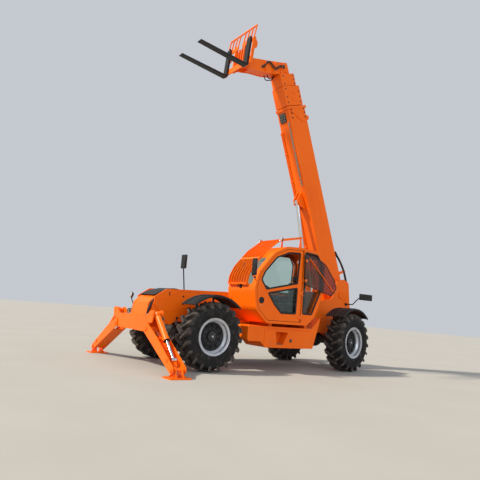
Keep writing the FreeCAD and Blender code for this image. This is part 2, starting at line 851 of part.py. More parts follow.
def head_bosses(section, body):
    """Round bosses over the slide blocks' bolts on each side of a head."""
    start, front = section["head_start"], section["head_front"]
    middle = (section["under"] + section["top"]) / 2
    for name, side in SIDES:
        low, high = span(side, section["head_half"] - 1, section["head_half"] + 9)
        pad(body, "XZ", low, high, [], [(start + 150, middle - 10, 50), (front - 150, middle + 30, 50)])


def wear_pads(body, section, outer):
    """Slide blocks at the tail that fill the gap to the section outside it."""
    low, high = section["tail"] + 20, section["tail"] + 150
    wall = s.boom_wall + s.fit
    half, under, top = section["half"], section["under"], section["top"]
    for side_name, side in SIDES:
        across = span(side, half - 2, outer["half"] - wall)
        for middle in (under + 90, top - 90):
            pad(body, "YZ", low, high, [rectangle(across, (middle - 40, middle + 40))])
        across = span(side, half - 120, half - 60)
        pad(body, "YZ", low, high, [rectangle(across, (top - 2, outer["top"] - wall))])
        pad(body, "YZ", low, high, [rectangle(across, (outer["under"] + wall, under + 2))])


def boom_sections():
    outer = None
    for label in ("boom_1", "boom_2", "boom_3", "boom_4"):
        body = new_body(label)
        boom_tube(boom[label], body)
        if outer:
            wear_pads(body, boom[label], boom[outer])
        outer = label
        if label == "boom_1":
            pad(body, "XZ", -s.chassis_half - 10, s.chassis_half + 10, [], [(0, 0, s.pivot_pin_radius)])
            pad(body, "XZ", -plate_inside + 6, plate_inside - 6, [], [(0, 0, s.pivot_pin_radius + 35)])
            lug_inner = s.lift_eye_half + s.fit + 4
            for name, side in SIDES:
                low, high = span(side, lug_inner, lug_inner + 25)
                pad(body, "XZ", low, high, [[
                    (s.lift_lug_along - 230, boom[label]["under"] + 6),
                    (s.lift_lug_along - 60, s.lift_lug_across - 60, 50),
                    (s.lift_lug_along + 60, s.lift_lug_across - 60, 50),
                    (s.lift_lug_along + 230, boom[label]["under"] + 6)]])
            head_plates(boom[label], body)
        if label == "boom_2":
            head_bosses(boom[label], body)
        if label == "boom_4":
            gooseneck(body)
        boom_place(body)


# Gooseneck side plate. Columns: along the boom, across it, corner radius.
neck_outline = corner_table("neck", [
    (5380, 57, 0), (5780, 57, 60), (5835, -480, 300), (5890, -850, 300), (5915, -1300, 100),
    (5665, -1300, 90), (5630, -1000, 200), (5540, -640, 200), (5508, -219, 0)])


def gooseneck(body):
    """Two side plates past the end of the last section, with a web on their rear edge."""
    for name, side in SIDES:
        low, high = span(side, s.neck_gap_half, s.neck_gap_half + s.neck_plate)
        pad(body, "XZ", low, high, [neck_outline],
            [(s.neck_pivot_along, s.neck_pivot_across, s.neck_pin_radius + s.fit)])
    pad(body, "XZ", -s.neck_gap_half - 1, s.neck_gap_half + 1, [[
        (5516, -208), (5548, -640, 190), (5638, -1000, 190), (5655, -1130), (5672, -1130),
        (5656, -1000, 172), (5566, -640, 172), (5535, -208)]])
    pad(body, "XZ", -s.neck_gap_half - 1, s.neck_gap_half + 1, [rectangle((5400, 5740), (16, 57))])


boom_sections()


def boom_pipes():
    """Hydraulic pipes clipped along the underside of the first section."""
    under = boom["boom_1"]["under"]
    pieces = []
    for number, across in enumerate((-196, -168, -140)):
        pieces.append(rod(f"boom_pipe_{number}", "x", (across, under - 16), 10, 250, 4150))
    for number, along in enumerate((300, 1260, 2900, 3600, 4100)):
        pieces.append(box(f"boom_pipe_clip_{number}", (along, along + 30), (-212, -124),
                          (under - 30, under - s.fit)))
    pipes = fuse("boom_pipes", pieces)
    boom_place(pipes)


boom_pipes()


def neck_web_at(up):
    """Rear face of the gooseneck's web, along the boom, at one height."""
    return 5516 + (-208 - up) * ((5548 - 5516) / (640 - 208))


def neck_hoses():
    """Two hydraulic hoses looped behind the gooseneck, both ends on its web."""
    loops = []
    # Columns: place across, upper end, lower end, how far the loop hangs back.
    for across, upper, lower, hang in ((-60, -330, -580, 5430), (10, -350, -545, 5448)):
        hose = doc.addObject("Part::Feature", f"neck_hose_{len(loops)}")
        hose.Shape = bent_bar_shape([
            (neck_web_at(upper) - 1.2, across, upper), (hang, across, upper),
            (hang, across, lower), (neck_web_at(lower) - 1.2, across, lower)], 11, 60)
        loops.append(hose)
    group = doc.addObject("Part::Compound", "neck_hoses")
    group.Links = loops
    group.Label = "neck_hoses"
    parts.append(group)
    boom_place(group)


neck_hoses()

neck_x = s.neck_pivot_along
neck_z = s.neck_pivot_across
# The carriage's pivot in the machine's own frame.
pivot_x = neck_x * cosine(s.boom_angle) - neck_z * sine(s.boom_angle) - s.pivot_back
pivot_z = neck_x * sine(s.boom_angle) + neck_z * cosine(s.boom_angle) + s.pivot_height


def carriage_place(item):
    place(item, pivot_x, 0, pivot_z, ACROSS, s.carriage_lean)


def fork_carriage():
    """Fork frame on its pivot pin: cross bars, uprights, backrest slats and the tilt lever."""
    body = new_body("fork_carriage")
    back, front = s.frame_back, s.frame_back + s.frame_thickness
    half = s.carriage_half
    pad(body, "XZ", -half, half, [rectangle((back, front), (-215, -75))])
    for side_name, side in SIDES:
        for inner in (165, s.carriage_half - 30):
            low, high = span(side, inner, inner + 30)
            pad(body, "XZ", low, high, [rectangle((back - 40, front), (-215, 448))])
        # The upper bar stops each side of the tilt cylinder, which passes it when the forks tip up.
        low, high = span(side, s.tilt_gap_half, half)
        pad(body, "XZ", low, high, [rectangle((back, front), (330, 430))])
        low, high = span(side, s.neck_gap_half + s.neck_plate + 8, 196)
        pad(body, "XZ", low, high, [[
            (-70, -70, 65), (120, -215), (back + 4, -215), (back + 4, 340), (100, 340), (-70, 70, 65)]])
        low, high = span(side, 40, 60)
        pad(body, "XZ", low, high, [[
            (-60, -60, 50), (60, -60, 30), (back + 4, -110), (back + 4, 340), (s.lever_out + 30, 340, 20),
            (s.lever_out - 45, s.lever_up + 45, 30), (-60, 60, 40)]])
        first, slat = s.tilt_gap_half + 10, 22
        for number in range(4):
            inner = first + (half - slat - first) * (number / 3)
            low, high = span(side, inner, inner + slat)
            pad(body, "XZ", low, high, [[
                (back + 2, 425), (front - 2, 425), (front - 30, 752), (back - 30, 752)]])
    pad(body, "XZ", -196, 196, [], [(0, 0, s.neck_pin_radius)])
    pad(body, "XZ", -half, half, [[
        (back - 34, 730), (front - 28, 730), (front - 30, 756), (back - 36, 756)]])
    carriage_place(body)


fork_carriage()


def forks():
    """A pair of forged forks, hooked over the carriage's upper bar."""
    face = s.frame_back + s.frame_thickness + s.fit
    thick = s.fork_thickness
    pieces = []
    for name, side in SIDES:
        blade = doc.addObject("PartDesign::Body", f"fork_blade_{name}")
        low, high = span(side, s.fork_spread - s.fork_width / 2, s.fork_spread + s.fork_width / 2)
        pad(blade, "XZ", low, high, [[
            (face, s.fork_top), (face, s.fork_under, 40), (face + s.fork_length, s.fork_under + 30, 4),
            (face + s.fork_length, s.fork_under + thick, 4), (face + thick, s.fork_under + thick, 20),
            (face + thick, s.fork_top)]])
        pieces.append(blade)
    pair = doc.addObject("Part::Compound", "forks")
    pair.Links = pieces
    pair.Label = "forks"
    parts.append(pair)
    carriage_place(pair)


forks()


def distance(first, second):
    """Length between two points, each a pair of sizes."""
    along, up = as_size(second[0]) - first[0], as_size(second[1]) - first[1]
    return Size(math.hypot(along.value, up.value), f"sqrt({along.formula}^2 + {up.formula}^2)")


def heading(first, second):
    """Angle of the way from one point to another, in degrees."""
    along, up = as_size(second[0]) - first[0], as_size(second[1]) - first[1]
    angle = math.degrees(math.atan2(up.value, along.value))
    return Size(angle, f"(atan2({up.formula}; {along.formula}) / 1 deg)")


def ram(name, labels, ways, side, reach, length, rod_inside, radii, foot_halves, eye_half):
    """Cylinder along one way from its foot pin: a bored barrel with its gland, and a rod with its eye.

    ways: the way it lies along, the way its pins lie. radii: barrel, rod, pin.
    rod_inside: how far the rod runs back from the barrel's mouth.
    foot_halves: half width of the foot eye and of the foot pin."""
    long_way, pin_way = ways
    barrel_radius, rod_radius, pin_radius = radii
    foot_half, pin_half = foot_halves
    bore = barrel_radius - 12
    eye = pin_radius * 1.7
    gland = 60
    rod_start = length - rod_inside

    def along(label, radius, start, stop):
        low, high = span(side, start, stop)
        return rod(f"{name}_{label}", long_way, (0, 0), radius, low, high)

    def across(label, radius, half, at=0):
        centre = (as_size(at) * side, 0)
        return rod(f"{name}_{label}", pin_way, centre, radius, -as_size(half), as_size(half))

    solid = fuse(f"{name}_barrel_solid", [
        along("tube", barrel_radius, eye * 1.6, length), across("foot_eye", eye, foot_half),
        along("neck", as_size(foot_half) - 3, 0, eye * 1.7),
        along("gland", barrel_radius + 7, length - gland, length + 12)], sub_part=False)
    hollow = fuse(f"{name}_hollow", [
        along("bore", bore, eye * 1.6 + 30, length - 20),
        along("rod_bore", rod_radius + s.fit, length - 30, length + 20)], sub_part=False)
    bored = cut(f"{name}_bored", solid, hollow, sub_part=False)
    barrel = fuse(labels[0], [bored, across("foot_pin", pin_radius, pin_half)])
    piston = fuse(labels[1], [
        along("stem", rod_radius, rod_start, reach),
        along("piston", bore - s.fit, rod_start, as_size(rod_start) + 40),
        across("rod_eye", eye, eye_half, reach)])
    return barrel, piston


def lift_ram():
    """Centre cylinder that raises the boom."""
    foot = (-s.lift_foot_back, s.lift_foot_height)
    lug = (s.lift_lug_along * cosine(s.boom_angle) - s.lift_lug_across * sine(s.boom_angle) - s.pivot_back,
           s.lift_lug_along * sine(s.boom_angle) + s.lift_lug_across * cosine(s.boom_angle) + s.pivot_height)
    pieces = ram("lift", ("lift_barrel", "lift_rod"), ("x", "y"), 1, distance(foot, lug),
                 s.lift_barrel_length, s.lift_rod_inside,
                 (s.lift_barrel_radius, s.lift_rod_radius, s.lift_pin_radius),
                 (s.lift_eye_half, s.lift_eye_half + 29), s.lift_eye_half)
    for piece in pieces:
        place(piece, foot[0], 0, foot[1], ACROSS, heading(foot, lug))


lift_ram()


def tilt_ram():
    """Cylinder in the open gooseneck that tilts the carriage."""
    foot = boom_point(s.tilt_foot_along, s.tilt_foot_across)
    turn = s.carriage_lean
    lug = (pivot_x + s.lever_out * cosine(turn) - s.lever_up * sine(turn),
           pivot_z + s.lever_out * sine(turn) + s.lever_up * cosine(turn))
    pieces = ram("tilt", ("tilt_barrel", "tilt_rod"), ("x", "y"), 1, distance(foot, lug),
                 s.tilt_barrel_length, s.tilt_rod_inside,
                 (s.tilt_barrel_radius, s.tilt_rod_radius, s.tilt_pin_radius),
                 (60, s.neck_gap_half - s.fit), 36)
    for piece in pieces:
        place(piece, foot[0], 0, foot[1], ACROSS, heading(foot, lug))


def boom_point(along, across):
    """A point of the boom's own frame, in the machine's frame."""
    return (along * cosine(s.boom_angle) - across * sine(s.boom_angle) - s.pivot_back,
            along * sine(s.boom_angle) + across * cosine(s.boom_angle) + s.pivot_height)


tilt_ram()


def stabiliser_beam():
    """Cross beam under the nose, open at its ends for the legs, with ears for their cylinders."""
    front, back = s.beam_middle + s.beam_depth / 2, s.beam_middle - s.beam_depth / 2
    body = new_body("stabiliser_beam")
    wall = 20
    hollow_start = s.leg_pivot_out - 150
    for low, high in ((back, back + wall), (front - wall, front)):
        pad(body, "YZ", low, high, [rectangle((-s.beam_half, s.beam_half), (s.beam_bottom, s.beam_top), 25)],
            [(s.leg_pivot_out, s.leg_pivot_height, s.leg_pin_radius + s.fit),
             (-s.leg_pivot_out, s.leg_pivot_height, s.leg_pin_radius + s.fit)])
    pad(body, "YZ", back + 10, front - 10, [rectangle((-hollow_start, hollow_start), (s.beam_bottom, s.beam_top))])
    pad(body, "YZ", back + 10, front - 10, [rectangle((-s.beam_half + 60, s.beam_half - 60), (s.beam_top - wall, s.beam_top))])
    for side_name, side in SIDES:
        for low, high in ((-100, -76), (76, 100)):
            outline = [(600, 870), (s.ram_foot_out + 20, s.beam_top - 130, 60),
                       (s.ram_foot_out + 70, s.ram_foot_height + 60, 55),
                       (s.ram_foot_out - 60, s.ram_foot_height + 60, 55), (600, 885)]
            mirrored = [(as_size(corner[0]) * side,) + tuple(corner[1:]) for corner in outline]
            if side < 0:
                mirrored.reverse()
            pad(body, "YZ", s.beam_middle + low, s.beam_middle + high, [mirrored],
                [(s.ram_foot_out * side, s.ram_foot_height, s.ram_pin_radius + s.fit)])
    # Arms that carry the beam on the nose plates.
    for side_name, side in SIDES:
        low, high = span(side, s.chassis_half - s.plate - 24, s.chassis_half - s.plate)
        pad(body, "XZ", low, high, [[
            (2180, 905), (2330, 770, 30), (back + 5, s.beam_bottom + 4), (back + 5, s.beam_top - 4),
            (back - 30, 1180, 60), (2300, 1180, 60)]])


stabiliser_beam()


def stabiliser(side_name, side):
    """Leg, pad and cylinder of one side."""
    pivot = (s.leg_pivot_out * side, s.leg_pivot_height)
    leg = new_body(f"stabiliser_leg_{side_name}")

    def flip(outline):
        mirrored = [(as_size(corner[0]) * side,) + tuple(corner[1:]) for corner in outline]
        if side < 0:
            mirrored.reverse()
        return mirrored

    cheek = flip([(-88, -88, 86), (s.leg_length + 62, -62, 60), (s.leg_length + 62, 62, 60), (400, 110, 300), (-88, 88, 86)])
    out = s.beam_depth / 2 + s.play
    for low, high in ((-out - s.leg_plate, -out), (out, out + s.leg_plate)):
        pad(leg, "YZ", low, high, [cheek])
    floor = flip([(130, -86), (s.leg_length - 95, -66), (s.leg_length - 95, -50), (130, -70)])
    pad(leg, "YZ", -out - 1, out + 1, [floor])
    pad(leg, "YZ", -out - s.leg_plate, out + s.leg_plate, [], [(0, 0, s.leg_pin_radius)])
    pad(leg, "YZ", -out - s.leg_plate - 6, out + s.leg_plate + 6, [], [(s.leg_length * side, 0, s.ram_pin_radius + 4)])
    turn = -s.leg_angle * side
    place(leg, s.beam_middle, pivot[0], pivot[1], Vector(1, 0, 0), turn)

    tip = (s.leg_pivot_out + s.leg_length * cosine(s.leg_angle), s.leg_pivot_height - s.leg_length * sine(s.leg_angle))
    foot = new_body(f"stabiliser_pad_{side_name}")
    pad(foot, "XY", 0, s.pad_plate, [
        rectangle((-s.pad_length / 2, s.pad_length / 2), (-s.pad_width / 2, s.pad_width / 2), 30)])
    inner = out - 34
    for low, high in ((-inner, -inner + 22), (inner - 22, inner)):
        pad(foot, "YZ", low, high, [[
            (-105, s.pad_plate - 1), (105, s.pad_plate - 1), (45, tip[1] + 45, 40), (-45, tip[1] + 45, 40)]],
            [(0, tip[1], s.ram_pin_radius + 4 + s.fit)])
    place(foot, s.beam_middle, tip[0] * side, 0)

    ram_foot = (s.ram_foot_out, s.ram_foot_height)
    ram_eye = (s.leg_pivot_out + s.ram_eye_along * cosine(s.leg_angle) + s.ram_eye_up * sine(s.leg_angle),
               s.leg_pivot_height - s.ram_eye_along * sine(s.leg_angle) + s.ram_eye_up * cosine(s.leg_angle))
    pieces = ram(f"ram_{side_name}", (f"stabiliser_barrel_{side_name}", f"stabiliser_rod_{side_name}"),
                 ("y", "x"), side, distance(ram_foot, ram_eye), s.ram_barrel_length, s.ram_rod_inside,
                 (s.ram_barrel_radius, s.ram_rod_radius, s.ram_pin_radius), (70, 100), 45)
    for piece in pieces:
        place(piece, s.beam_middle, s.ram_foot_out * side, s.ram_foot_height, Vector(1, 0, 0),
              heading(ram_foot, ram_eye) * side)


for side_name, side_sign in SIDES:
    stabiliser(side_name, side_sign)


# Cab side profile, front edge first. Columns: x, z, corner radius.
cab_profile = corner_table("cab", [
    (-378, 923, 60), (650, 923, 70), (930, 1170, 180), (1003, 1560, 250), (915, 1890, 250),
    (560, 2310, 300), (240, 2470, 260), (-200, 2508, 500), (-690, 2470, 130), (-835, 2230, 150),
    (-845, 1660, 250), (-610, 1100, 80)])
# The same corners on the inside face. Columns: move in x and in z, in wall thicknesses.
INWARD = [
    (0.5, 1), (-0.6, 1), (-1.2, 0.6), (-1.1, 0.1), (-1.1, -0.3), (-0.9, -0.9), (-0.4, -1.1), (0, -1.05),
    (0.7, -1), (1, -0.4), (1.1, 0.1), (1.05, 0.6)]


def cab_corners(wall):
    corners = []
    for (place_x, place_z, radius), (in_x, in_z) in zip(cab_profile, INWARD):
        corners.append((place_x + wall * in_x, place_z + wall * in_z, radius - wall * 0.9))
    return corners


DOOR_HINGES = (1080, 1560)


def inset(corners, depth):
    """The corners of a convex outline moved inwards, square to its edges, by a depth."""
    count = len(corners)
    moved = []
    for number, (first, second, radius) in enumerate(corners):
        last, here, after = (Vector(*values(corners[place % count][:2]), 0)
                             for place in (number - 1, number, number + 1))
        inward = [Vector(-way.y, way.x, 0).normalize() for way in (here - last, after - here)]
        shift = (inward[0] + inward[1]) * (1 / (1 + inward[0].dot(inward[1])))
        moved.append((first + depth * shift.x, second + depth * shift.y, radius))
    return moved


def door_side(depth, rear, rear_radius):
    """The cab's profile forward of one place, with its foot, front and top moved in by a depth."""
    depth = as_size(depth)
    front = [(x, z, radius - depth * 0.7) for x, z, radius in cab_profile[1:7]]
    foot, top = cab_profile[0][1], cab_profile[7][1] - 4
    return inset([(rear - depth, foot, rear_radius)] + front + [(rear - depth, top, rear_radius)], depth)


def cab_frame():
    """Hollow cab: side walls, floor, roof, front and rear skins, with the windows and the door cut."""
    body = new_body("cab_frame")
    pad(body, "XZ", s.cab_inner, s.cab_outer, [cab_profile])
    pocket(body, "XZ", s.cab_inner + s.cab_wall, s.cab_outer - s.cab_wall, [cab_corners(s.cab_wall)])
    # Door opening, then the rear quarter window, both through the left wall.
    door_hole = [(-150, 1010, 60), (600, 1010, 80), (850, 1200, 150), (915, 1560, 200), (835, 1850, 220),
                 (520, 2230, 260), (230, 2380, 150), (-150, 2410, 60)]
    quarter = [(-260, 1150, 50), (-530, 1150, 60), (-765, 1670, 200), (-760, 2220, 120), (-620, 2400, 90),
               (-260, 2420, 50)]
    pocket(body, "XZ", s.cab_outer - s.cab_wall - 1, s.cab_outer + 1, [door_hole])
    pocket(body, "XZ", s.cab_outer - s.cab_wall - 1, s.cab_outer + 1, [quarter])
    # Right window, through the inner wall.
    right = [(-700, 1560, 80), (820, 1560, 80), (800, 1850, 150), (500, 2230, 200), (200, 2380, 100), (-640, 2400, 80), (-740, 2200, 80)]
    pocket(body, "XZ", s.cab_inner - 1, s.cab_inner + s.cab_wall + 1, [right])
    # Windscreen and roof light, cut from the front; rear window, cut from behind.
    inset = 75
    across = (s.cab_inner + inset, s.cab_outer - inset)
    pocket(body, "YZ", 480, 1100, [rectangle(across, (1640, 2200), 50)])
    pocket(body, "YZ", -900, -620, [rectangle(across, (1640, 2330), 60)])
    # Rear quarter panel, outside the frame and level with the door.
    pad(body, "XZ", s.cab_outer - 1, s.cab_outer + s.door_thickness + 5, [
        [(s.quarter_front, 925), (s.quarter_front, 2500), (-690, 2468, 130), (-835, 2230, 150), (-845, 1660, 250), (-610, 1100, 80), (-400, 925, 60)],
        [(-260, 1150, 50), (-260, 2420, 50), (-620, 2400, 90), (-760, 2220, 120), (-765, 1670, 200), (-530, 1150, 60)]])
    # Raised rim round the door's foot, front and top, as proud as the quarter panel.
    pad(body, "XZ", s.cab_outer - 1, s.cab_outer + s.door_thickness + 5,
        [door_side(0, s.quarter_front - 8, 0), door_side(s.door_rim, s.quarter_front, 0)])
    for height in DOOR_HINGES:
        for low, high in ((height - 46, height - 31), (height + 31, height + 46)):
            pad(body, "XY", low, high, [[
                (-262, 1199), (-236, 1199), (-236, 1205), (-204, 1205), (-204, 1230, 8), (-262, 1230, 8)]])
        pad(body, "XY", height - 46, height + 46, [], [(s.door_hinge_x, s.door_hinge_y, 9)])


cab_frame()


def part_way(first, second, share):
    """The point some share of the way from one corner to the next."""
    return (first[0] + (second[0] - first[0]) * share, first[1] + (second[1] - first[1]) * share)


def cab_front_at(height):
    """Front face of the cab at one height of the windscreen's lower half."""
    (low_x, low_z), (high_x, high_z) = cab_profile[3][:2], cab_profile[4][:2]
    return low_x + (high_x - low_x) * ((height - low_z) / (high_z - low_z))


def cab_roof_at(place_x):
    """Top of the cab's roof behind its crown."""
    (front_x, front_z), (rear_x, rear_z) = cab_profile[7][:2], cab_profile[8][:2]
    return rear_z + (front_z - rear_z) * ((place_x - rear_x) / (front_x - rear_x))


def cab_glass():
    """Windscreen, roof, rear, right and quarter panes, set inside the frame."""
    glass = []
    across = (s.cab_inner + s.cab_wall + 20, s.cab_outer - s.cab_wall - 20)
    outer = cab_corners(s.cab_wall + 4)
    inner = cab_corners(s.cab_wall + 4 + s.glass)
    for label, picked in (("windscreen", (3, 4, 5)), ("rear", (9, 10))):
        body = doc.addObject("PartDesign::Body", f"glass_{label}")
        faces = []
        for corners in (outer, inner):
            line = [corners[number] for number in picked]
            line[0], line[-1] = part_way(line[0], line[1], 0.2), part_way(line[-1], line[-2], 0.2)
            faces.append(line)
        pad(body, "XZ", across[0], across[1], [faces[0] + faces[1][::-1]])
        glass.append(body)
    right = doc.addObject("PartDesign::Body", "glass_right")
    low = s.cab_inner + s.cab_wall + s.fit
    pad(right, "XZ", low, low + s.glass, [[
        (-730, 1530, 80), (850, 1530, 80), (830, 1860, 150), (500, 2260, 200), (200, 2410, 100), (-660, 2430, 80), (-770, 2200, 80)]])
    glass.append(right)
    quarter = doc.addObject("PartDesign::Body", "glass_quarter")
    high = s.cab_outer - s.cab_wall - s.fit
    pad(quarter, "XZ", high - s.glass, high, [[
        (-230, 1120, 50), (-540, 1120, 60), (-790, 1670, 200), (-785, 2220, 120), (-630, 2430, 90), (-230, 2440, 50)]])
    glass.append(quarter)
    panes = doc.addObject("Part::Compound", "cab_glass")
    panes.Links = glass
    panes.Label = "cab_glass"
    parts.append(panes)


cab_glass()

door_outline = door_side(s.door_rim + s.door_gap, s.door_rear, 40)
upper_light = corner_table("upper_light", [
    (-89, 1745, 30), (705, 1565, 60), (850, 1751, 60), (770, 1920, 150), (500, 2220, 200),
    (181, 2357, 80), (-129, 2386, 40)])
lower_light = corner_table("lower_light", [
    (-79, 1134, 40), (308, 1132, 60), (489, 1288, 60), (673, 1505, 30), (-95, 1669, 40)])


# Handle recess in the door. Columns: x, z, radius.
handle = (812, 1350, 52)


def door():
    """Full-height door with its two window openings; the lower one is glazed."""
    body = new_body("door_panel")
    low = s.cab_outer + s.play
    high = low + s.door_thickness
    pad(body, "XZ", low, high, [door_outline, upper_light, lower_light])
    pocket(body, "XZ", high - 16, high + 1, [], [handle])
    pad(body, "XZ", high - 17, high - 4, [rectangle((handle[0] - 12, handle[0] + 12), (handle[1] - 38, handle[1] + 38), 10)])
    for height in DOOR_HINGES:
        pad(body, "XY", height - 30, height + 30, [[
            (s.door_hinge_x, 1201), (-150, 1200), (-150, 1210), (s.door_hinge_x, s.door_hinge_y + 14)]])
        pad(body, "XY", height - 30, height + 30, [], [(s.door_hinge_x, s.door_hinge_y, 16)])
        pocket(body, "XY", height - 31, height + 31, [], [(s.door_hinge_x, s.door_hinge_y, 9 + s.fit)])
    pane = new_body("door_glass")
    pad(pane, "XZ", low - 6, low - s.fit, [[
        (-99, 1110, 40), (318, 1108, 60), (510, 1275, 60), (710, 1515, 30), (-110, 1700, 40)]])


door()


def window_leaf():
    """The door's upper window, swung right round and latched back outside the rear quarter."""
    body = new_body("window_leaf")
    outline = []
    for along, up, radius in reversed(upper_light):
        outline.append((s.leaf_fold_line * 2 - along, up, radius))
    low = s.cab_outer + s.door_thickness + 5 + 40
    pad(body, "XZ", low, low + s.glass, [outline])
    for height in (1830, 2240):
        pad(body, "XZ", low - 40 + s.fit, low + 10, [rectangle((-262, -238), (height - 30, height + 30))])


window_leaf()


def cab_guard():
    """Falling-object guard: bars that follow the windscreen and roof, on cross bars with stand-offs."""
    body = new_body("cab_guard")
    outer = [(1040, 1637), (1063, 1640), (1035, 1820, 200), (935, 2015, 300), (622, 2370, 400), (270, 2635, 300),
             (-341, 2770)]
    inner = [(-341, 2722), (262, 2590, 290), (585, 2340, 390), (890, 1990, 290), (985, 1810, 190), (1010, 1637)]
    low, high = s.guard_low, s.guard_high
    cross_bars = [
        [(1014, 1640), (1056, 1640), (1056, 1664), (1014, 1664)],
        [(740, 2190), (775, 2150), (796, 2168), (760, 2208)],
        [(225, 2600), (270, 2590), (275, 2612), (230, 2622)],
        [(-338, 2724), (-300, 2717), (-300, 2750), (-338, 2765)]]
    for bar in cross_bars:
        pad(body, "XZ", low, high, [bar])
    count = round(s.guard_bars.value)
    for number in range(count):
        out = low + (high - s.guard_bar - low) * (number / (count - 1))
        pad(body, "XZ", out, out + s.guard_bar, [outer + inner])
    stand_offs = [
        [(-330, cab_roof_at(-330) + s.fit), (-270, cab_roof_at(-270) + s.fit), (-300, 2730), (-330, 2730)],
        [(cab_front_at(1660) + s.fit, 1660), (cab_front_at(1610) + s.fit, 1610), (1030, 1640), (1030, 1660)]]
    for out in (low, high - s.guard_bar):
        for stand_off in stand_offs:
            pad(body, "XZ", out, out + s.guard_bar, [stand_off])
    # Lamp brackets on the end bars.
    for start, stop in ((low - 8, low + 2), (high - 2, high + 8)):
        pad(body, "XZ", start, stop, [rectangle((240, 280), (2585, 2650), 12)])


cab_guard()


def cab_fittings():
    """Seat and steering column."""
    middle = (s.cab_inner + s.cab_outer) / 2
    base = 963
    fuse("driver_seat", [
        box("seat_box", (-340, -40), (middle - 200, middle + 200), (base + 0.3, base + 260)),
        box("seat_cushion", (-480, 60), (middle - 250, middle + 250), (base + 250, base + 390)),
        box("seat_back", (-560, -430), (middle - 240, middle + 240), (base + 300, base + 980))])
    body = doc.addObject("PartDesign::Body", "column_console")
    pad(body, "XZ", middle - 130, middle + 130, [[
        (470, base + 0.3), (590, base + 0.3), (660, base + 420, 60), (540, base + 480, 40), (430, base + 430, 30)]])
    pad(body, "XZ", middle - 25, middle + 25, [[(460, base + 420), (520, base + 440), (425, base + 655), (385, base + 635)]])
    ring = doc.addObject("PartDesign::Body", "steering_wheel_ring")
    wheel = s.steering_wheel_radius
    sketch = profile(ring, "YZ", 0, [[(wheel - 13, -5), (wheel - 5, -13), (wheel + 7, -12), (wheel + 13, 0),
                                      (wheel + 7, 12), (wheel - 5, 13), (wheel - 13, 5)]])
    turned = ring.newObject("PartDesign::Revolution", "steering_wheel_turned")
    turned.Profile = sketch
    turned.ReferenceAxis = (sketch, ["V_Axis"])
    turned.Angle = 360
    ring.Tip = turned
    place(ring, 405, middle, base + 650, ACROSS, 26)
    hub = rod("steering_wheel_hub", "z", (0, 0), 45, -20, 20)
    place(hub, 405, middle, base + 650, ACROSS, 26)
    spoke = rod("steering_wheel_spoke", "y", (405, base + 650), 9, middle - s.steering_wheel_radius,
                middle + s.steering_wheel_radius)
    fuse("steering_column", [body, ring, hub, spoke])


cab_fittings()


def nose_pieces():
    """Deck and sloping front cover between the nose plates, and the black visor over the headlamps."""
    sheet = s.nose_sheet
    deck, ledge = s.nose_deck, s.nose_ledge
    half = plate_inside - 26
    cover = new_body("nose_cover")
    pad(cover, "XZ", -half, half, [[
        (1050, deck - sheet), (2384, deck - sheet, 30), (2400, ledge - sheet, 20), (2606, ledge - sheet, 30),
        (2662, 1216, 40), (2744, 1128, 50), (2780, s.beam_top + s.fit), (2796, s.beam_top + s.fit), (2760, 1140, 60),
        (2674, 1228, 50), (2614, ledge, 30), (2414, ledge, 10), (2398, deck, 30), (1050, deck)]])
    pad(cover, "XZ", -plate_inside + s.fit, plate_inside - s.fit, [rectangle((1500, 1560), (1290, deck - sheet + 1))])
    visor = new_body("nose_visor")
    pad(visor, "XZ", -s.visor_half, s.visor_half, [[
        (2152, 1418), (2250, 1422, 140), (2458, 1366, 140), (2640, 1278), (2650, 1290), (2466, 1380, 150),
        (2254, 1436, 150), (2152, 1431)]])
    for name, side in SIDES:
        low, high = span(side, s.visor_half - 14, s.visor_half)
        pad(visor, "XZ", low, high, [[
            (2180, deck + s.fit), (2370, deck + s.fit), (2440, 1372), (2250, 1424), (2170, 1420)]])


def bodywork():
    """Engine hood and block, side skirt, nose cover, rear counterweight."""
    hood = new_body("engine_hood")
    out = s.chassis_half + 18
    foot = s.engine_foot + s.fit
    profile_hood = [(-1000, foot, 30), (1010, foot, 30), (1010, 1150, 60), (850, 1420, 150), (-800, 1450, 150), (-1000, 1250, 100)]
    inner_hood = [(-980, 600), (990, 600), (990, 1145, 50), (840, 1400, 140), (-795, 1430, 140), (-980, 1240, 90)]
    pad(hood, "XZ", -1130, -out - 20, [profile_hood])
    pocket(hood, "XZ", -1110, -out - 40, [inner_hood])
    block = new_body("engine_block")
    pad(block, "XZ", -960, -500, [[(-640, foot), (640, foot), (640, 1100, 60), (400, 1250, 60), (-500, 1250, 60), (-640, 1100, 60)]])

    # Louvres through the engine cover's outer skin, in two banks.
    for bank in (-700, 150):
        for number in range(7):
            low = 800 + number * 60
            pocket(hood, "XZ", -1131, -1109, [rectangle((bank, bank + 420), (low, low + 24), 10)])

    skirt = new_body("side_skirt")
    pad(skirt, "XZ", 470, 1100, [[
        (-691, 456, 30), (560, 456, 60), (690, 570, 40), (1010, 570, 50), (1010, s.outrigger_under - s.fit, 40),
        (-640, s.outrigger_under - s.fit, 60), (-868, 1090), (-880, 1060)]])
    pocket(skirt, "XZ", 900, 1101, [[(115, 522, 20), (283, 518, 20), (319, 767, 20), (-8, 759, 20)]])
    pocket(skirt, "XZ", 1088, 1101, [rectangle((-560, 560), (806, 820))])
    pocket(skirt, "XZ", 1092, 1101, [rectangle((600, 608), (500, s.outrigger_under))])

    nose_pieces()
    weight = new_body("rear_counterweight")
    pad(weight, "YZ", -2860, -2600, [rectangle((-450, 450), (600, 1240), 60)])
    for low in (700, 800):
        pad(weight, "XY", low, low + s.hitch_plate, [[
            (-2855, -90), (-2855, 90), (-2960, 70, 60), (-2960, -70, 60)]], [(-2910, 0, s.hitch_bore)])


bodywork()


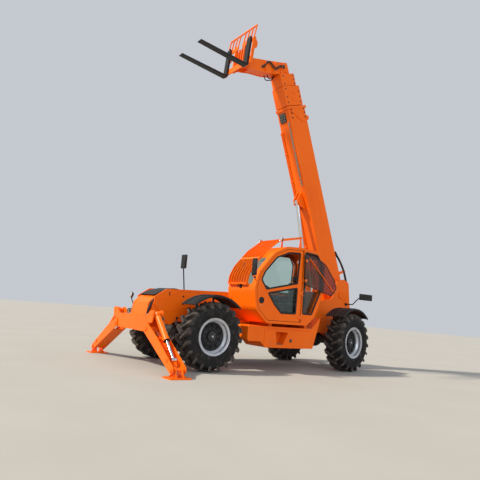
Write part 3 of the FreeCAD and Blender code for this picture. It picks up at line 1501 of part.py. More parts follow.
def lamps_and_mirrors():
    """Lamps and mirrors, each on its bracket."""
    glass = []
    head = s.headlamp_radius
    roof = s.roof_lamp_radius
    for name, side in SIDES:
        glass.append(rod(f"headlamp_{name}", "x", (190 * side, s.nose_ledge + head + s.fit), head, 2420, 2472))
        glass.append(rod(f"rear_lamp_{name}", "x", (380 * side, 1150), 45, -2885, -2860.3))
    for name, out in (("right", s.guard_low - 8 - s.fit - roof), ("left", s.guard_high + 8 + s.fit + roof)):
        glass.append(rod(f"roof_lamp_{name}", "x", (out, 2630), roof, 235, 300))
    group = doc.addObject("Part::Compound", "lamps")
    group.Links = glass
    group.Label = "lamps"
    parts.append(group)
    heads = []
    # Columns: name, head block as x, y and z ranges, stay as bend points, bend radius.
    mirrors = [
        ("left", ((1060, 1110), (1200, 1330), (1800, 2130)),
         [(cab_front_at(1780) + s.fit, 1120, 1780), (1010, 1120, 1798), (1085, 1265, 1802)], 25),
        ("rear", ((-3090, -2680), (560, 640), (1600, 1750)),
         [(-2420, s.chassis_half + s.fit, 1470), (-2420, 600, 1470), (-2700, 600, 1660)], 60),
        ("right", ((1600, 1660), (-620, -440), (1900, 2200)),
         [(1560, -s.chassis_half - s.fit, 1300), (1560, -500, 1300), (1630, -530, 1905)], 60)]
    for name, block, points, bend in mirrors:
        stay = doc.addObject("Part::Feature", f"mirror_stay_{name}")
        stay.Shape = bent_bar_shape([[as_size(item) for item in point] for point in points], 12, bend)
        heads.append(fuse(f"mirror_{name}", [box(f"mirror_head_{name}", *block), stay], sub_part=False))
    group = doc.addObject("Part::Compound", "mirrors")
    group.Links = heads
    group.Label = "mirrors"
    parts.append(group)


lamps_and_mirrors()

doc.recompute()

problems = [item.Name for item in doc.Objects if {"Invalid", "Error"} & set(item.State)]
for part in parts:
    if part.Shape.isNull() or not part.Shape.isValid():
        problems.append(part.Label)
if problems:
    raise SystemExit("These did not build: " + ", ".join(problems))

os.makedirs("parts", exist_ok=True)
for part in parts:
    part.Shape.exportStep(f"parts/{part.Label}.step")
print(len(parts), "parts written")
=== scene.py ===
"""Looks of the telehandler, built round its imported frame.

X points forward, Y to the left, Z up; the origin is on the floor, midway between the axles. Sizes are in
millimetres, and the modelling helpers turn them into Blender's metres.
"""
import json
import math

import bpy
from mathutils import Matrix, Vector


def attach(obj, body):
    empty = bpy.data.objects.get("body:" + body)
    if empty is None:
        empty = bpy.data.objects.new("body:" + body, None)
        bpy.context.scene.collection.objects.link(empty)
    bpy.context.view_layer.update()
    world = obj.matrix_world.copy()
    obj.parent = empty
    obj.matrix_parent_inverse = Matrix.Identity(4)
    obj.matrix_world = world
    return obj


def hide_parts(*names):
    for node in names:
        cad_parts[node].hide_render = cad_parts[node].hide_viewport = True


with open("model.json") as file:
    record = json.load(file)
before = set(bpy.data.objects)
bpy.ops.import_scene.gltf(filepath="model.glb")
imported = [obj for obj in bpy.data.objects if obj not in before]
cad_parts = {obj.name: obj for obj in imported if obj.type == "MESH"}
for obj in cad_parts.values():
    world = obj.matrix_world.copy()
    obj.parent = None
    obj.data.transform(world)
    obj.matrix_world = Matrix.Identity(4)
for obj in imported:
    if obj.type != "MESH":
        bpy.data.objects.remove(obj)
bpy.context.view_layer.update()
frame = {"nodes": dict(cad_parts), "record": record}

MM = 0.001

# Ways and places shared with the frame.
CENTRE = Vector((0, 0, 0))
AHEAD = Vector((1, 0, 0))
OUT = Vector((0, 1, 0))
UP = Vector((0, 0, 1))
AXLES = {"front": 1800, "rear": -1800}
SIDES = {"left": 1, "right": -1}
KINGPIN_OUT = 800
WHEEL_OUT = 200
REAR_STEER_REST = math.radians(10)
TYRE_RADIUS = 620
BOOM_PIVOT = Vector((-2250, 0, 1680))
BOOM_FRAME = Matrix.Translation(BOOM_PIVOT) @ Matrix.Rotation(-math.radians(69.5), 4, "Y")
NECK_PIVOT = BOOM_FRAME @ Vector((5800, 0, -1190))
CARRIAGE_FRAME = Matrix.Translation(NECK_PIVOT) @ Matrix.Rotation(-math.radians(4.75), 4, "Y")
BEAM_MIDDLE = 2815
BEAM_TOP = 890.5
PAD_OUT = 1759.537
TOWER_FACE = 380.5
REAR_FACE = -2860.5
SKIRT_FACE = 1100
HOOD_FACE = -1130
NOSE_FACE = 380
NECK_FACE = 141


# Colours and nodes

def colour(hex_code):
    """sRGB hex to linear colour with alpha."""
    channels = [int(hex_code[i:i + 2], 16) / 255 for i in (0, 2, 4)]
    return tuple(c / 12.92 if c <= 0.04045 else ((c + 0.055) / 1.055) ** 2.4 for c in channels) + (1,)


def add(tree, kind, values=None, links=None, **settings):
    """Add a node. settings: its fields; values and links: its inputs, by socket name or number."""
    node = tree.nodes.new("ShaderNode" + kind)
    for field, setting in settings.items():
        setattr(node, field, setting)
    for socket, value in (values or {}).items():
        node.inputs[socket].default_value = value
    for socket, source in (links or {}).items():
        tree.links.new(source, node.inputs[socket])
    return node


def per_mm(size):
    """Pattern scale whose features are about this many millimetres wide."""
    return 1 / (size * MM)


def noise(tree, place, size_mm, detail=3.0, roughness=0.55):
    """Cloudy pattern with patches of about one size."""
    return add(tree, "TexNoise", {"Scale": per_mm(size_mm), "Detail": detail, "Roughness": roughness},
               {"Vector": place}).outputs["Fac"]


def waves(tree, place, size_mm, distortion=0.0):
    return add(tree, "TexWave", {"Scale": per_mm(size_mm), "Distortion": distortion},
               {"Vector": place}).outputs["Fac"]


def pebbles(tree, place, size_mm):
    return add(tree, "TexVoronoi", {"Scale": per_mm(size_mm)}, {"Vector": place},
               feature="F1").outputs["Distance"]


def band(tree, value, low, high):
    """0 below low, 1 above high, smooth between."""
    return add(tree, "MapRange", {"From Min": low, "From Max": high}, {"Value": value},
               interpolation_type="SMOOTHSTEP").outputs["Result"]


def between(tree, value, low, high):
    """The pattern's 0 to 1 stretched from low to high."""
    return add(tree, "MapRange", {"To Min": low, "To Max": high}, {"Value": value}).outputs["Result"]


def times(tree, first, second):
    node = add(tree, "Math", operation="MULTIPLY")
    for number, source in enumerate((first, second)):
        if isinstance(source, (int, float)):
            node.inputs[number].default_value = source
        else:
            tree.links.new(source, node.inputs[number])
    return node.outputs[0]


def patches(tree, place, size_mm, detail, roughness, low, high, share):
    """Noise cut to a band, so that it stands in patches, and weakened to a share."""
    return times(tree, band(tree, noise(tree, place, size_mm, detail, roughness), low, high), share)


def tint(tree, below, above, amount):
    """Mix from one colour to another. below: a hex code or a socket."""
    node = add(tree, "Mix", data_type="RGBA")
    for socket, source in (("A", below), ("B", above)):
        place = [entry for entry in node.inputs if entry.name == socket and entry.type == "RGBA"][0]
        if isinstance(source, str):
            place.default_value = colour(source)
        else:
            tree.links.new(source, place)
    tree.links.new(amount, node.inputs["Factor"])
    return [entry for entry in node.outputs if entry.type == "RGBA"][0]


def bump(tree, shader, height, distance_mm, strength):
    node = add(tree, "Bump", {"Strength": strength, "Distance": distance_mm * MM}, {"Height": height})
    tree.links.new(node.outputs["Normal"], shader.inputs["Normal"])


def surface(name, base, roughness, metallic=0.0, **sockets):
    """A material with one principled shader, and its Object coordinates. sockets: further values by name."""
    material = bpy.data.materials.new(name)
    material.use_nodes = True
    tree = material.node_tree
    shader = tree.nodes["Principled BSDF"]
    shader.inputs["Base Color"].default_value = colour(base)
    shader.inputs["Roughness"].default_value = roughness
    shader.inputs["Metallic"].default_value = metallic
    for socket, value in sockets.items():
        shader.inputs[socket.replace("_", " ")].default_value = value
    material.diffuse_color = colour(base)
    return material, tree, shader, add(tree, "TexCoord").outputs["Object"]


# Materials

def enamel(name, paint, shade):
    """Sprayed enamel on steel plate: orange peel, a thin clear gloss, dust that thickens near the ground."""
    dust_height = 1.1
    material, tree, shader, place = surface(
        name, paint, 0.42, Coat_Weight=0.06, Coat_Roughness=0.2, Specular_IOR_Level=0.2)
    painted = tint(tree, paint, shade, patches(tree, place, 900, 4, 0.55, 0.42, 0.75, 0.55))
    height = add(tree, "SeparateXYZ", links={"Vector": place}).outputs["Z"]
    low_down = band(tree, height, dust_height, 0.0)
    grime = times(tree, band(tree, noise(tree, place, 140, 6, 0.62), 0.45, 0.75), low_down)
    dusty = tint(tree, painted, "A07C50", times(tree, grime, 0.3))
    tree.links.new(dusty, shader.inputs["Base Color"])
    tree.links.new(between(tree, noise(tree, place, 220, 4), 0.3, 0.55), shader.inputs["Roughness"])
    bump(tree, shader, noise(tree, place, 7, 2), 0.15, 0.25)
    return material


def patchy(name, base, roughness, tones, cover, grain, relief, metallic=0.0, **sockets):
    """A finish with patches of a second tone and a fine grain.

    tones: clean and patched colour. cover: size in mm, detail, roughness, both ends of the band, share.
    grain: size in mm and detail. relief: height in mm and strength."""
    material, tree, shader, place = surface(name, base, roughness, metallic, **sockets)
    tree.links.new(tint(tree, *tones, patches(tree, place, *cover)), shader.inputs["Base Color"])
    bump(tree, shader, noise(tree, place, *grain), *relief)
    return material


def rubber(name, base, dusty, share):
    """Moulded tyre rubber: fine pores, pale dust worn into lugs and sidewalls."""
    return patchy(name, base, 0.82, (base, dusty), (110, 7, 0.68, 0.46, 0.78, share), (12, 4), (0.6, 0.5),
                  Specular_IOR_Level=0.3)


def plastic(name, base, pale, grain_mm):
    """Moulded polypropylene with a leathery grain, greyed where the sun fades it."""
    return patchy(name, base, 0.55, (base, pale), (300, 4, 0.55, 0.4, 0.8, 0.6), (grain_mm, 2), (0.4, 0.35),
                  Specular_IOR_Level=0.35)


def smeared(name, base, low, high, smear_mm, detail, roughness):
    """Polished metal whose gloss varies in smears from low to high roughness."""
    material, tree, shader, place = surface(name, base, roughness, metallic=1.0)
    tree.links.new(between(tree, noise(tree, place, smear_mm, detail), low, high), shader.inputs["Roughness"])
    return material


def mottled(name, base, tones, size_mm, detail, roughness, metallic=0.0):
    """Matt or satin surface clouded softly between two tones."""
    material, tree, shader, place = surface(name, base, roughness, metallic)
    tree.links.new(tint(tree, *tones, noise(tree, place, size_mm, detail)), shader.inputs["Base Color"])
    return material


def toughened_glass(name, base, roughness, clarity):
    """Toughened safety glass: clear with a body tint, lightly dusty."""
    material, tree, shader, place = surface(name, base, roughness, Transmission_Weight=clarity, IOR=1.5)
    dust = band(tree, noise(tree, place, 260, 6), 0.5, 0.9)
    tree.links.new(between(tree, dust, roughness, roughness + 0.1), shader.inputs["Roughness"])
    return material


def vinyl(name):
    """Grained seat vinyl over foam: charcoal, soft sheen, fine pebble grain."""
    material, tree, shader, place = surface(name, "232326", 0.5, Sheen_Weight=0.15)
    bump(tree, shader, pebbles(tree, place, 5), 0.5, 0.4)
    tree.links.new(tint(tree, "1D1D20", "303034", noise(tree, place, 160, 3)), shader.inputs["Base Color"])
    return material


def hose_rubber(name):
    """Braided hydraulic hose: black rubber cover with a fine wrap mark."""
    material, tree, shader, place = surface(name, "161617", 0.6)
    bump(tree, shader, waves(tree, place, 9, 0.4), 0.3, 0.3)
    rubbed = times(tree, noise(tree, place, 60, 4), 0.6)
    tree.links.new(tint(tree, "131314", "3A3733", rubbed), shader.inputs["Base Color"])
    return material


def lens(name, base):
    """Moulded polycarbonate lens, clear over its reflector."""
    material, tree, shader, place = surface(name, base, 0.12, Transmission_Weight=0.6, IOR=1.58)
    bump(tree, shader, waves(tree, place, 30), 1.0, 0.4)
    return material


ORANGE = enamel("orange_enamel_sprayed", "F46A04", "E65E03")
GUARD_ORANGE = enamel("guard_enamel_brushed", "F26E06", "DE6004")
# Black enamel on forged steel, rubbed to bare grey in patches.
BLACK = patchy("black_enamel_forged", "121315", 0.45, ("101113", "45423E"), (90, 7, 0.7, 0.6, 0.72, 0.5),
               (25, 3), (0.4, 0.3), Specular_IOR_Level=0.35)
# Sand-cast iron under dark paint: a rough skin with oily dust.
CASTING = patchy("cast_iron_painted", "2A2B2D", 0.6, ("26272A", "6B6157"), (70, 6, 0.55, 0.45, 0.8, 0.6),
                 (6, 4), (0.8, 0.6))
RUBBER = rubber("tyre_rubber_moulded", "1C1B1B", "5A5048", 0.5)
# Lighter rubber for the tread bars: partly dust, partly painted highlight for the lit bars against the shaded
# grooves between them.
LUG_RUBBER = rubber("tyre_rubber_dust_and_highlight", "3A3633", "857668", 0.75)
# Silver wheel enamel: fine metal flake under a satin coat, dulled by dust.
SILVER = patchy("silver_enamel_wheel", "B4B7BC", 0.34, ("BBBEC4", "84807B"), (120, 6, 0.55, 0.48, 0.8, 0.6),
                (5, 2), (0.1, 0.2), metallic=0.55)
CHROME = smeared("hard_chrome_ground", "DADCE0", 0.06, 0.18, 40, 2, 0.09)
# Satin zinc plate with a yellow cast.
ZINC = mottled("zinc_plate_fastener", "B9B5A6", ("C2BFB2", "8E8772"), 18, 3, 0.35, 1.0)
PLASTIC = plastic("polypropylene_moulded", "141416", "2C2B2D", 9)
CLEAR_GLASS = toughened_glass("toughened_glass_green", "C9E0D6", 0.02, 0.985)
BROWN_GLASS = toughened_glass("toughened_glass_brown", "9A7458", 0.03, 0.97)
VINYL = vinyl("seat_vinyl_grained")
SEAL = plastic("glazing_seal_rubber", "141415", "2B2A2A", 5)
HOSE = hose_rubber("hydraulic_hose_rubber")
MIRROR = smeared("mirror_glass_silvered", "D5DAE0", 0.02, 0.12, 50, 3, 0.03)
LENS = lens("lamp_lens_clear", "E9ECEE")
RED_LENS = lens("lamp_lens_red", "B01818")
FLOOR = mottled("studio_floor_matt", "A6A49F", ("AAA8A3", "9E9C97"), 1500, 5, 0.85)

# Which finish each of the record's slots shows.
SLOT_FINISH = {
    "orange_paint": ORANGE,
    "guard_paint": GUARD_ORANGE,
    "black_paint": BLACK,
    "dark_casting": CASTING,
    "tyre_rubber": RUBBER,
    "rim_paint": SILVER,
    "chrome_rod": CHROME,
    "black_plastic": PLASTIC,
    "clear_glass": CLEAR_GLASS,
    "leaf_glass": BROWN_GLASS,
    "seat_vinyl": VINYL,
    "lamp_glass": LENS,
}


def dress_frame():
    """Give every node of the frame the finish of its slot."""
    for subpart in frame["record"]["subparts"]:
        node = frame["nodes"][subpart["node"]]
        node.data.materials.clear()
        node.data.materials.append(SLOT_FINISH[subpart["material_slot"]])


dress_frame()


# Modelling helpers. A piece without a finish gets the one of its slot when it is settled.

def alone(piece):
    """Select one piece, make it active and give it back."""
    bpy.ops.object.select_all(action="DESELECT")
    piece.select_set(True)
    bpy.context.view_layer.objects.active = piece
    return piece


def fixed(piece):
    """Move the piece's place, turn and size into its mesh."""
    alone(piece)
    bpy.ops.object.transform_apply(location=True, rotation=True, scale=True)
    return piece


def softened(piece, width, steps=2, angle=32):
    """Round the piece's sharp edges."""
    alone(piece)
    bevel = piece.modifiers.new("soft_edges", "BEVEL")
    bevel.width = width * MM
    bevel.segments = steps
    bevel.limit_method = "ANGLE"
    bevel.angle_limit = math.radians(angle)
    bpy.ops.object.modifier_apply(modifier=bevel.name)
    return piece


def coated(piece, finish):
    """Give a piece one finish, if there is one."""
    if finish:
        piece.data.materials.clear()
        piece.data.materials.append(finish)
    return piece


def joined(pieces):
    """One object from several, each part keeping its own finish."""
    alone(pieces[0])
    for piece in pieces[1:]:
        piece.select_set(True)
    bpy.ops.object.join()
    return bpy.context.object


def moved(piece, matrix):
    """Place a mesh that was modelled about the origin, and keep its faces outwards."""
    in_metres = matrix.copy()
    in_metres.translation *= MM
    piece.data.transform(in_metres)
    if matrix.determinant() < 0:
        piece.data.flip_normals()
    return piece


def twin(piece, matrix):
    """A copy with its own mesh, placed by a matrix."""
    other = piece.copy()
    other.data = piece.data.copy()
    bpy.context.collection.objects.link(other)
    return moved(other, matrix)


def mirrored(piece):
    """The same piece on the other side of the machine."""
    return twin(piece, Matrix.Scale(-1, 4, OUT))


def both_sides(pieces):
    """Pieces modelled on the left, with their mirror images, as one object."""
    return joined(pieces + [mirrored(piece) for piece in pieces])


def settle(pieces, name, body, slot, finish=None, place=None, instead_of=(), angle=35):
    """Finish a piece, or a list as one: place, smooth shading, name, body, the finish of its slot, and hide
    the nodes it stands for.
    """
    piece = joined(pieces) if isinstance(pieces, list) else pieces
    if place:
        moved(piece, place)
    fixed(piece)
    bpy.ops.object.shade_smooth_by_angle(angle=math.radians(angle))
    piece.name = piece.data.name = name
    if finish or not piece.data.materials:
        coated(piece, finish or SLOT_FINISH[slot])
    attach(piece, body)
    if instead_of:
        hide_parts(*instead_of)
    return piece


def block(low, high, soft=4, steps=2, finish=None):
    """Block between two corners with rounded edges."""
    low, high = Vector(low) * MM, Vector(high) * MM
    bpy.ops.object.select_all(action="DESELECT")
    bpy.ops.mesh.primitive_cube_add(size=1, location=(low + high) / 2, scale=high - low)
    return coated(softened(fixed(bpy.context.object), soft, steps), finish)


def plate(finish, low, high, soft):
    """A block in one finish."""
    return block(low, high, soft, finish=finish)


def turned(centre, way, profile, steps, finish=None, hollow=False):
    """Turned piece: a circle extruded ring by ring. profile: radius and place along the axis.

    A hollow piece's profile goes right round its wall and closes on itself."""
    centre, way = Vector(centre) * MM, Vector(way).normalized()
    profile = [(radius * MM, along * MM) for radius, along in profile]
    radius, along = profile[0]
    bpy.ops.object.select_all(action="DESELECT")
    bpy.ops.mesh.primitive_circle_add(
        vertices=steps, radius=radius, location=centre + way * along,
        rotation=way.to_track_quat("Z", "Y").to_euler(), fill_type="NOTHING" if hollow else "NGON")
    piece = fixed(bpy.context.object)
    bpy.ops.object.mode_set(mode="EDIT")
    bpy.ops.mesh.select_all(action="SELECT")
    rings = profile[1:] + (profile[:1] if hollow else [])
    for next_radius, next_along in rings:
        bpy.ops.mesh.extrude_region_move(TRANSFORM_OT_translate={"value": way * (next_along - along)})
        size = next_radius / radius
        bpy.ops.transform.resize(value=(size, size, size), center_override=centre + way * next_along)
        radius, along = next_radius, next_along
    bpy.ops.mesh.select_all(action="SELECT")
    bpy.ops.mesh.remove_doubles(threshold=0.00005)
    bpy.ops.mesh.normals_make_consistent(inside=False)
    bpy.ops.object.mode_set(mode="OBJECT")
    return coated(piece, finish)


def rounded(corners, steps=5):
    """Outline with its corners rounded. corners: first way, second way and radius."""
    longest_share = 0.49
    outline = []
    count = len(corners)
    for number, corner in enumerate(corners):
        here = Vector(corner[:2])
        radius = corner[2] if len(corner) > 2 else 0
        if not radius:
            outline.append(here)
            continue
        to_last = (Vector(corners[number - 1][:2]) - here)
        to_next = (Vector(corners[(number + 1) % count][:2]) - here)
        half = to_last.angle(to_next) / 2
        reach = min(radius / math.tan(half), to_last.length * longest_share, to_next.length * longest_share)
        first, last = here + to_last.normalized() * reach, here + to_next.normalized() * reach
        for step in range(steps + 1):
            share = step / steps
            outline.append((first.lerp(here, share)).lerp(here.lerp(last, share), share))
    return outline


def sheet_piece(outline, place, thickness, soft=0.0, finish=None, rim=0.0):
    """Flat piece: an outline drawn point by point, filled and extruded along the third way.

    place: turns an outline point and a height into a place. rim: keep only an edge this wide."""
    outline = [Vector(point) * MM for point in outline]
    bpy.ops.object.select_all(action="DESELECT")
    bpy.ops.mesh.primitive_plane_add(size=0.01, location=(0, 0, 0))
    piece = bpy.context.object
    bpy.ops.object.mode_set(mode="EDIT")
    bpy.ops.mesh.select_all(action="SELECT")
    bpy.ops.mesh.merge(type="CENTER")
    bpy.ops.transform.translate(value=Vector((*outline[0], 0)))
    for before, after in zip(outline, outline[1:]):
        bpy.ops.mesh.extrude_region_move(TRANSFORM_OT_translate={"value": Vector((*(after - before), 0))})
    # The first call closes the outline, the second fills it.
    for _ in range(2):
        bpy.ops.mesh.select_all(action="SELECT")
        bpy.ops.mesh.edge_face_add()
    if rim:
        bpy.ops.mesh.inset(thickness=rim * MM, use_even_offset=True)
        bpy.ops.mesh.delete(type="FACE")
        bpy.ops.mesh.select_all(action="SELECT")
    bpy.ops.mesh.extrude_region_move(TRANSFORM_OT_translate={"value": (0, 0, thickness * MM)})
    bpy.ops.mesh.select_all(action="SELECT")
    bpy.ops.mesh.normals_make_consistent(inside=False)
    bpy.ops.object.mode_set(mode="OBJECT")
    moved(piece, place)
    if soft:
        softened(piece, soft)
    return coated(piece, finish)


def side_plane(y):
    """Outlines given in x and z, lying at one y, thickness outwards to the left."""
    return Matrix(((1, 0, 0, 0), (0, 0, 1, y), (0, 1, 0, 0), (0, 0, 0, 1)))


def cross_plane(x):
    """Outlines given in y and z, lying at one x, thickness forwards."""
    return Matrix(((0, 0, 1, x), (1, 0, 0, 0), (0, 1, 0, 0), (0, 0, 0, 1)))


def pipe(points, radius, finish=None, steps=4):
    """Round bar or hose on a smooth curve through its control points."""
    bpy.ops.object.select_all(action="DESELECT")
    data = bpy.data.curves.new("pipe", "CURVE")
    data.dimensions = "3D"
    data.bevel_depth = radius * MM
    data.bevel_resolution = steps
    data.resolution_u = 8
    data.use_fill_caps = True
    line = data.splines.new("NURBS")
    line.points.add(len(points) - 1)
    for control, point in zip(line.points, points):
        control.co = (*(Vector(point) * MM), 1)
    line.order_u = 3
    line.use_endpoint_u = True
    piece = bpy.data.objects.new("pipe", data)
    bpy.context.collection.objects.link(piece)
    alone(piece)
    bpy.ops.object.convert(target="MESH")
    return coated(bpy.context.object, finish)


def at_side(y, *places):
    """Points at one distance to the left, from their first and third coordinates."""
    return [(x, y, z) for x, z in places]


def around(piece, count, centre=CENTRE, way=OUT):
    """The piece repeated evenly round an axis, as one object."""
    centre = Vector(centre)
    copies = [piece]
    for number in range(1, count):
        turn = Matrix.Rotation(2 * math.pi * number / count, 4, Vector(way))
        copies.append(twin(piece, Matrix.Translation(centre) @ turn @ Matrix.Translation(-centre)))
    return joined(copies)


def bolt(centre, way, size, height, finish=None, washer=True):
    """Hexagon bolt head on its washer, standing on a face."""
    centre, way = Vector(centre), Vector(way).normalized()
    pieces = [turned(centre, way, [(size, 0), (size, height * 0.8), (size * 0.82, height)], 6)]
    if washer:
        pieces.append(turned(centre, way, [(size * 1.45, -1), (size * 1.45, 2.2), (size * 1.3, 3)], 20))
    return coated(joined(pieces), finish)


def pin_cap(centre, way, radius, height, bolts):
    """Keeper plate on a pin's end, chamfered, with its bolts."""
    centre, way = Vector(centre), Vector(way).normalized()
    edge = height * 0.7
    pieces = [turned(centre, way, [(radius, -1), (radius, edge), (radius * 0.93, height),
                                   (radius * 0.45, height), (radius * 0.4, edge)], 36)]
    if bolts:
        across = way.orthogonal().normalized()
        spot = centre + across * radius * 0.68 + way * height
        pieces.append(around(bolt(spot, way, radius * 0.13, radius * 0.1, washer=False), bolts, centre, way))
    return joined(pieces)


def hex_fitting(centre, way, foot, heights):
    """Hose fitting: a hexagon with a narrower one above it. heights: where the steps and the top lie."""
    wide, narrow = 15, 12.5
    first, step, top = heights
    return turned(centre, way, [(wide, foot), (wide, first), (narrow, step), (narrow, top)], 6, ZINC)


# Wheels

TYRE_HALF_SECTION = [
    (306, 0), (306, 150), (318, 163), (337, 168), (350, 180), (368, 188),
    (371, 193), (384, 196), (388, 194), (425, 205), (455, 209.5), (462, 207),
    (486, 206.5), (490, 209), (508, 204.5), (526, 197), (540, 187), (551, 174),
    (558, 155), (563, 110), (565, 55)]
LUGS_PER_ROW = 20
# A tread bar's foot, its run across the tread, its slant and curve, its half width and how that changes.
LUG_FOOT = 552
LUG_FROM, LUG_REACH = -10, 216.5
LUG_LEAD, LUG_SLANT, LUG_CURVE = 62, 108, 26
LUG_HALF, LUG_TAPER, LUG_FLARE = 31, 9, 6
SHOULDER_SHARE = 0.8
RIM_HALF_SECTION = [(290, 178), (322, 181), (333, 187), (336.5, 184), (334, 177),
                    (320, 172), (305, 166), (304, 110), (268, 80), (266, 52)]
DISC_FACE = 60.5
DISC_EDGE = 254.5
HUB_HOLE = 84
NUT_CIRCLE = 140
HAND_HOLE_CIRCLE = 203


def lug():
    """One tread bar of the left row, at the top of the wheel: tapered, curved back, down the shoulder."""
    bpy.ops.object.select_all(action="DESELECT")
    bpy.ops.mesh.primitive_cube_add(size=1, location=(0, 0, 0))
    piece = bpy.context.object
    bpy.ops.object.mode_set(mode="EDIT")
    bpy.ops.mesh.select_all(action="DESELECT")
    bpy.ops.object.mode_set(mode="OBJECT")
    for edge in piece.data.edges:
        ends = [piece.data.vertices[number].co for number in edge.vertices]
        edge.select = abs(ends[0].y - ends[1].y) > 0.5
    bpy.ops.object.mode_set(mode="EDIT")
    bpy.ops.mesh.subdivide(number_cuts=7)
    bpy.ops.object.mode_set(mode="OBJECT")
    for vertex in piece.data.vertices:
        out_share = vertex.co.y + 0.5
        up_share = vertex.co.z + 0.5
        shoulder = max(0, (out_share - SHOULDER_SHARE) / 0.2)
        out = LUG_FROM + out_share * LUG_REACH - 4 * shoulder * up_share
        along = LUG_LEAD - LUG_SLANT * out_share - LUG_CURVE * out_share ** 2
        half = LUG_HALF - LUG_TAPER * up_share + LUG_FLARE * out_share
        foot = LUG_FOOT - 50 * shoulder ** 1.5
        top = TYRE_RADIUS - 0.5 - 30 * shoulder ** 2
        radius = foot + (top - foot) * up_share
        angle = (along + vertex.co.x * 2 * half) / TYRE_RADIUS
        vertex.co = Vector((radius * math.sin(angle), out, radius * math.cos(angle))) * MM
    return softened(piece, 5, 2, 40)


def wheel_frame(axle, side):
    """Where a wheel stands at rest; the rear ones are steered a little."""
    rest = REAR_STEER_REST if axle == "rear" else 0.0
    place = Matrix.Translation((AXLES[axle], KINGPIN_OUT * side, TYRE_RADIUS)) @ Matrix.Rotation(rest, 4, "Z")
    return place @ Matrix.Translation((0, WHEEL_OUT * side, 0)) @ Matrix.Scale(side, 4, OUT)


def tyre_model():
    """Hollow carcass, two rows of tread bars, moulded index ribs on its outer sidewall."""
    section = TYRE_HALF_SECTION + [(565, -55)]
    section += [(radius, -out) for radius, out in reversed(TYRE_HALF_SECTION[1:-1])]
    carcass = turned(CENTRE, OUT, section, 80, RUBBER, hollow=True)
    left_bar = lug()
    right_bar = twin(left_bar, Matrix.Rotation(math.pi / LUGS_PER_ROW, 4, "Y") @ Matrix.Scale(-1, 4, OUT))
    # The tread bars take the lighter rubber, partly dust and partly painted highlight.
    rows = [coated(around(bar, LUGS_PER_ROW), LUG_RUBBER) for bar in (left_bar, right_bar)]
    rib = block((-1.5, 203, 395), (1.5, 208.5, 418), 0.8, 1)
    return joined([carcass] + rows + [coated(around(rib, 60), RUBBER)])


def rim_model():
    """Silver barrel with flanges, bead humps and drop centre, and its valve with a cap."""
    section = RIM_HALF_SECTION + [(radius, -out) for radius, out in reversed(RIM_HALF_SECTION)]
    section += [(292, -118), (256, -86), (254, -60), (254, 50), (256, 86), (292, 118)]
    barrel = turned(CENTRE, OUT, section, 80, SILVER, hollow=True)
    valve = pipe([(245, 95, 115), (240, 120, 112), (232, 150, 108)], 5.5, ZINC)
    cap = turned((232, 150, 108), (-0.2, 0.9, -0.1), [(7.5, 0), (7.5, 14), (5, 18)],
                 12, PLASTIC)
    return joined([barrel, valve, cap])


def hub_model():
    """Dark pressed wheel disc with hand holes, a black ring behind them as painted shade, wheel nuts on their
    studs, and the planetary hub cover.
    """
    disc = turned(CENTRE, OUT, [
        (DISC_EDGE, 30), (DISC_EDGE, 56), (244, 64), (228, 66), (214, 60), (190, 50),
        (176, 50), (168, 58), (160, DISC_FACE), (HUB_HOLE, DISC_FACE), (HUB_HOLE, 30)],
        72, hollow=True)
    hole = turned(CENTRE, OUT, [(17, 20), (17, 80)], 20)
    holes = around(moved(hole, Matrix.Translation(UP * HAND_HOLE_CIRCLE)), 10)
    alone(disc)
    cutter = disc.modifiers.new("hand_holes", "BOOLEAN")
    cutter.operation = "DIFFERENCE"
    cutter.object = holes
    bpy.ops.object.modifier_apply(modifier=cutter.name)
    bpy.data.objects.remove(holes)
    coated(softened(disc, 2, 1, 60), BLACK)
    nut_place = (0, DISC_FACE, NUT_CIRCLE)
    nut = bolt(nut_place, OUT, 16.5, 18)
    stud = turned(nut_place, OUT, [(8.5, 10), (8.5, 26), (6, 29)], 12)
    first_nut = moved(joined([nut, stud]), Matrix.Rotation(math.pi / 10, 4, "Y"))
    nuts = coated(around(first_nut, 10), CASTING)
    cover = turned(CENTRE, OUT, [
        (86, 55), (86, 92), (80, 100), (74, 102), (66, 104), (60, 114),
        (50, 117.5), (20, 117.5), (18, 119.5), (4, 119.5)], 48, CASTING)
    screws = coated(around(bolt((0, 101, 73), OUT, 5.5, 6, washer=False), 8), ZINC)
    plug = turned(CENTRE, OUT, [(20, 116), (20, 118.5), (17, 119.8), (2, 119.8)], 24, SILVER)
    # Black ring behind the disc: painted shade, so that the hand holes show dark instead of the floor behind.
    hand_hole_shade_ring = turned(CENTRE, OUT, [(DISC_EDGE, 16), (DISC_EDGE, 25), (HUB_HOLE, 25), (HUB_HOLE, 16)],
                  48, PLASTIC, hollow=True)
    return joined([disc, hand_hole_shade_ring, nuts, cover, screws, plug])


def wheels():
    tyre, rim, hub = tyre_model(), rim_model(), hub_model()
    for axle in AXLES:
        for side_name, side in SIDES.items():
            corner = f"{axle}_{side_name}"
            place = wheel_frame(axle, side)
            # Columns: model, name, slot, nodes that it stands for.
            for model, name, slot, nodes in (
                    (tyre, f"tyre_{corner}_moulded", "tyre_rubber", [f"tyre_{corner}"]),
                    (rim, f"rim_{corner}_barrel", "rim_paint", [f"rim_{corner}"]),
                    (hub, f"rim_{corner}_disc", "rim_paint", [])):
                settle(twin(model, place), name, f"wheel_{corner}", slot, instead_of=nodes, angle=30)
    for model in (tyre, rim, hub):
        bpy.data.objects.remove(model)


wheels()


# Cab: seals, leaf, latch, wiper, seat, and a lining that is partly painted shade

DOOR_FACE = 1201
PILLAR_FACE = 1200
LEAF_FACE = 1246
RIGHT_FACE = 300
CAB_FLOOR = 963.5
SEAT_MIDDLE = 728.5
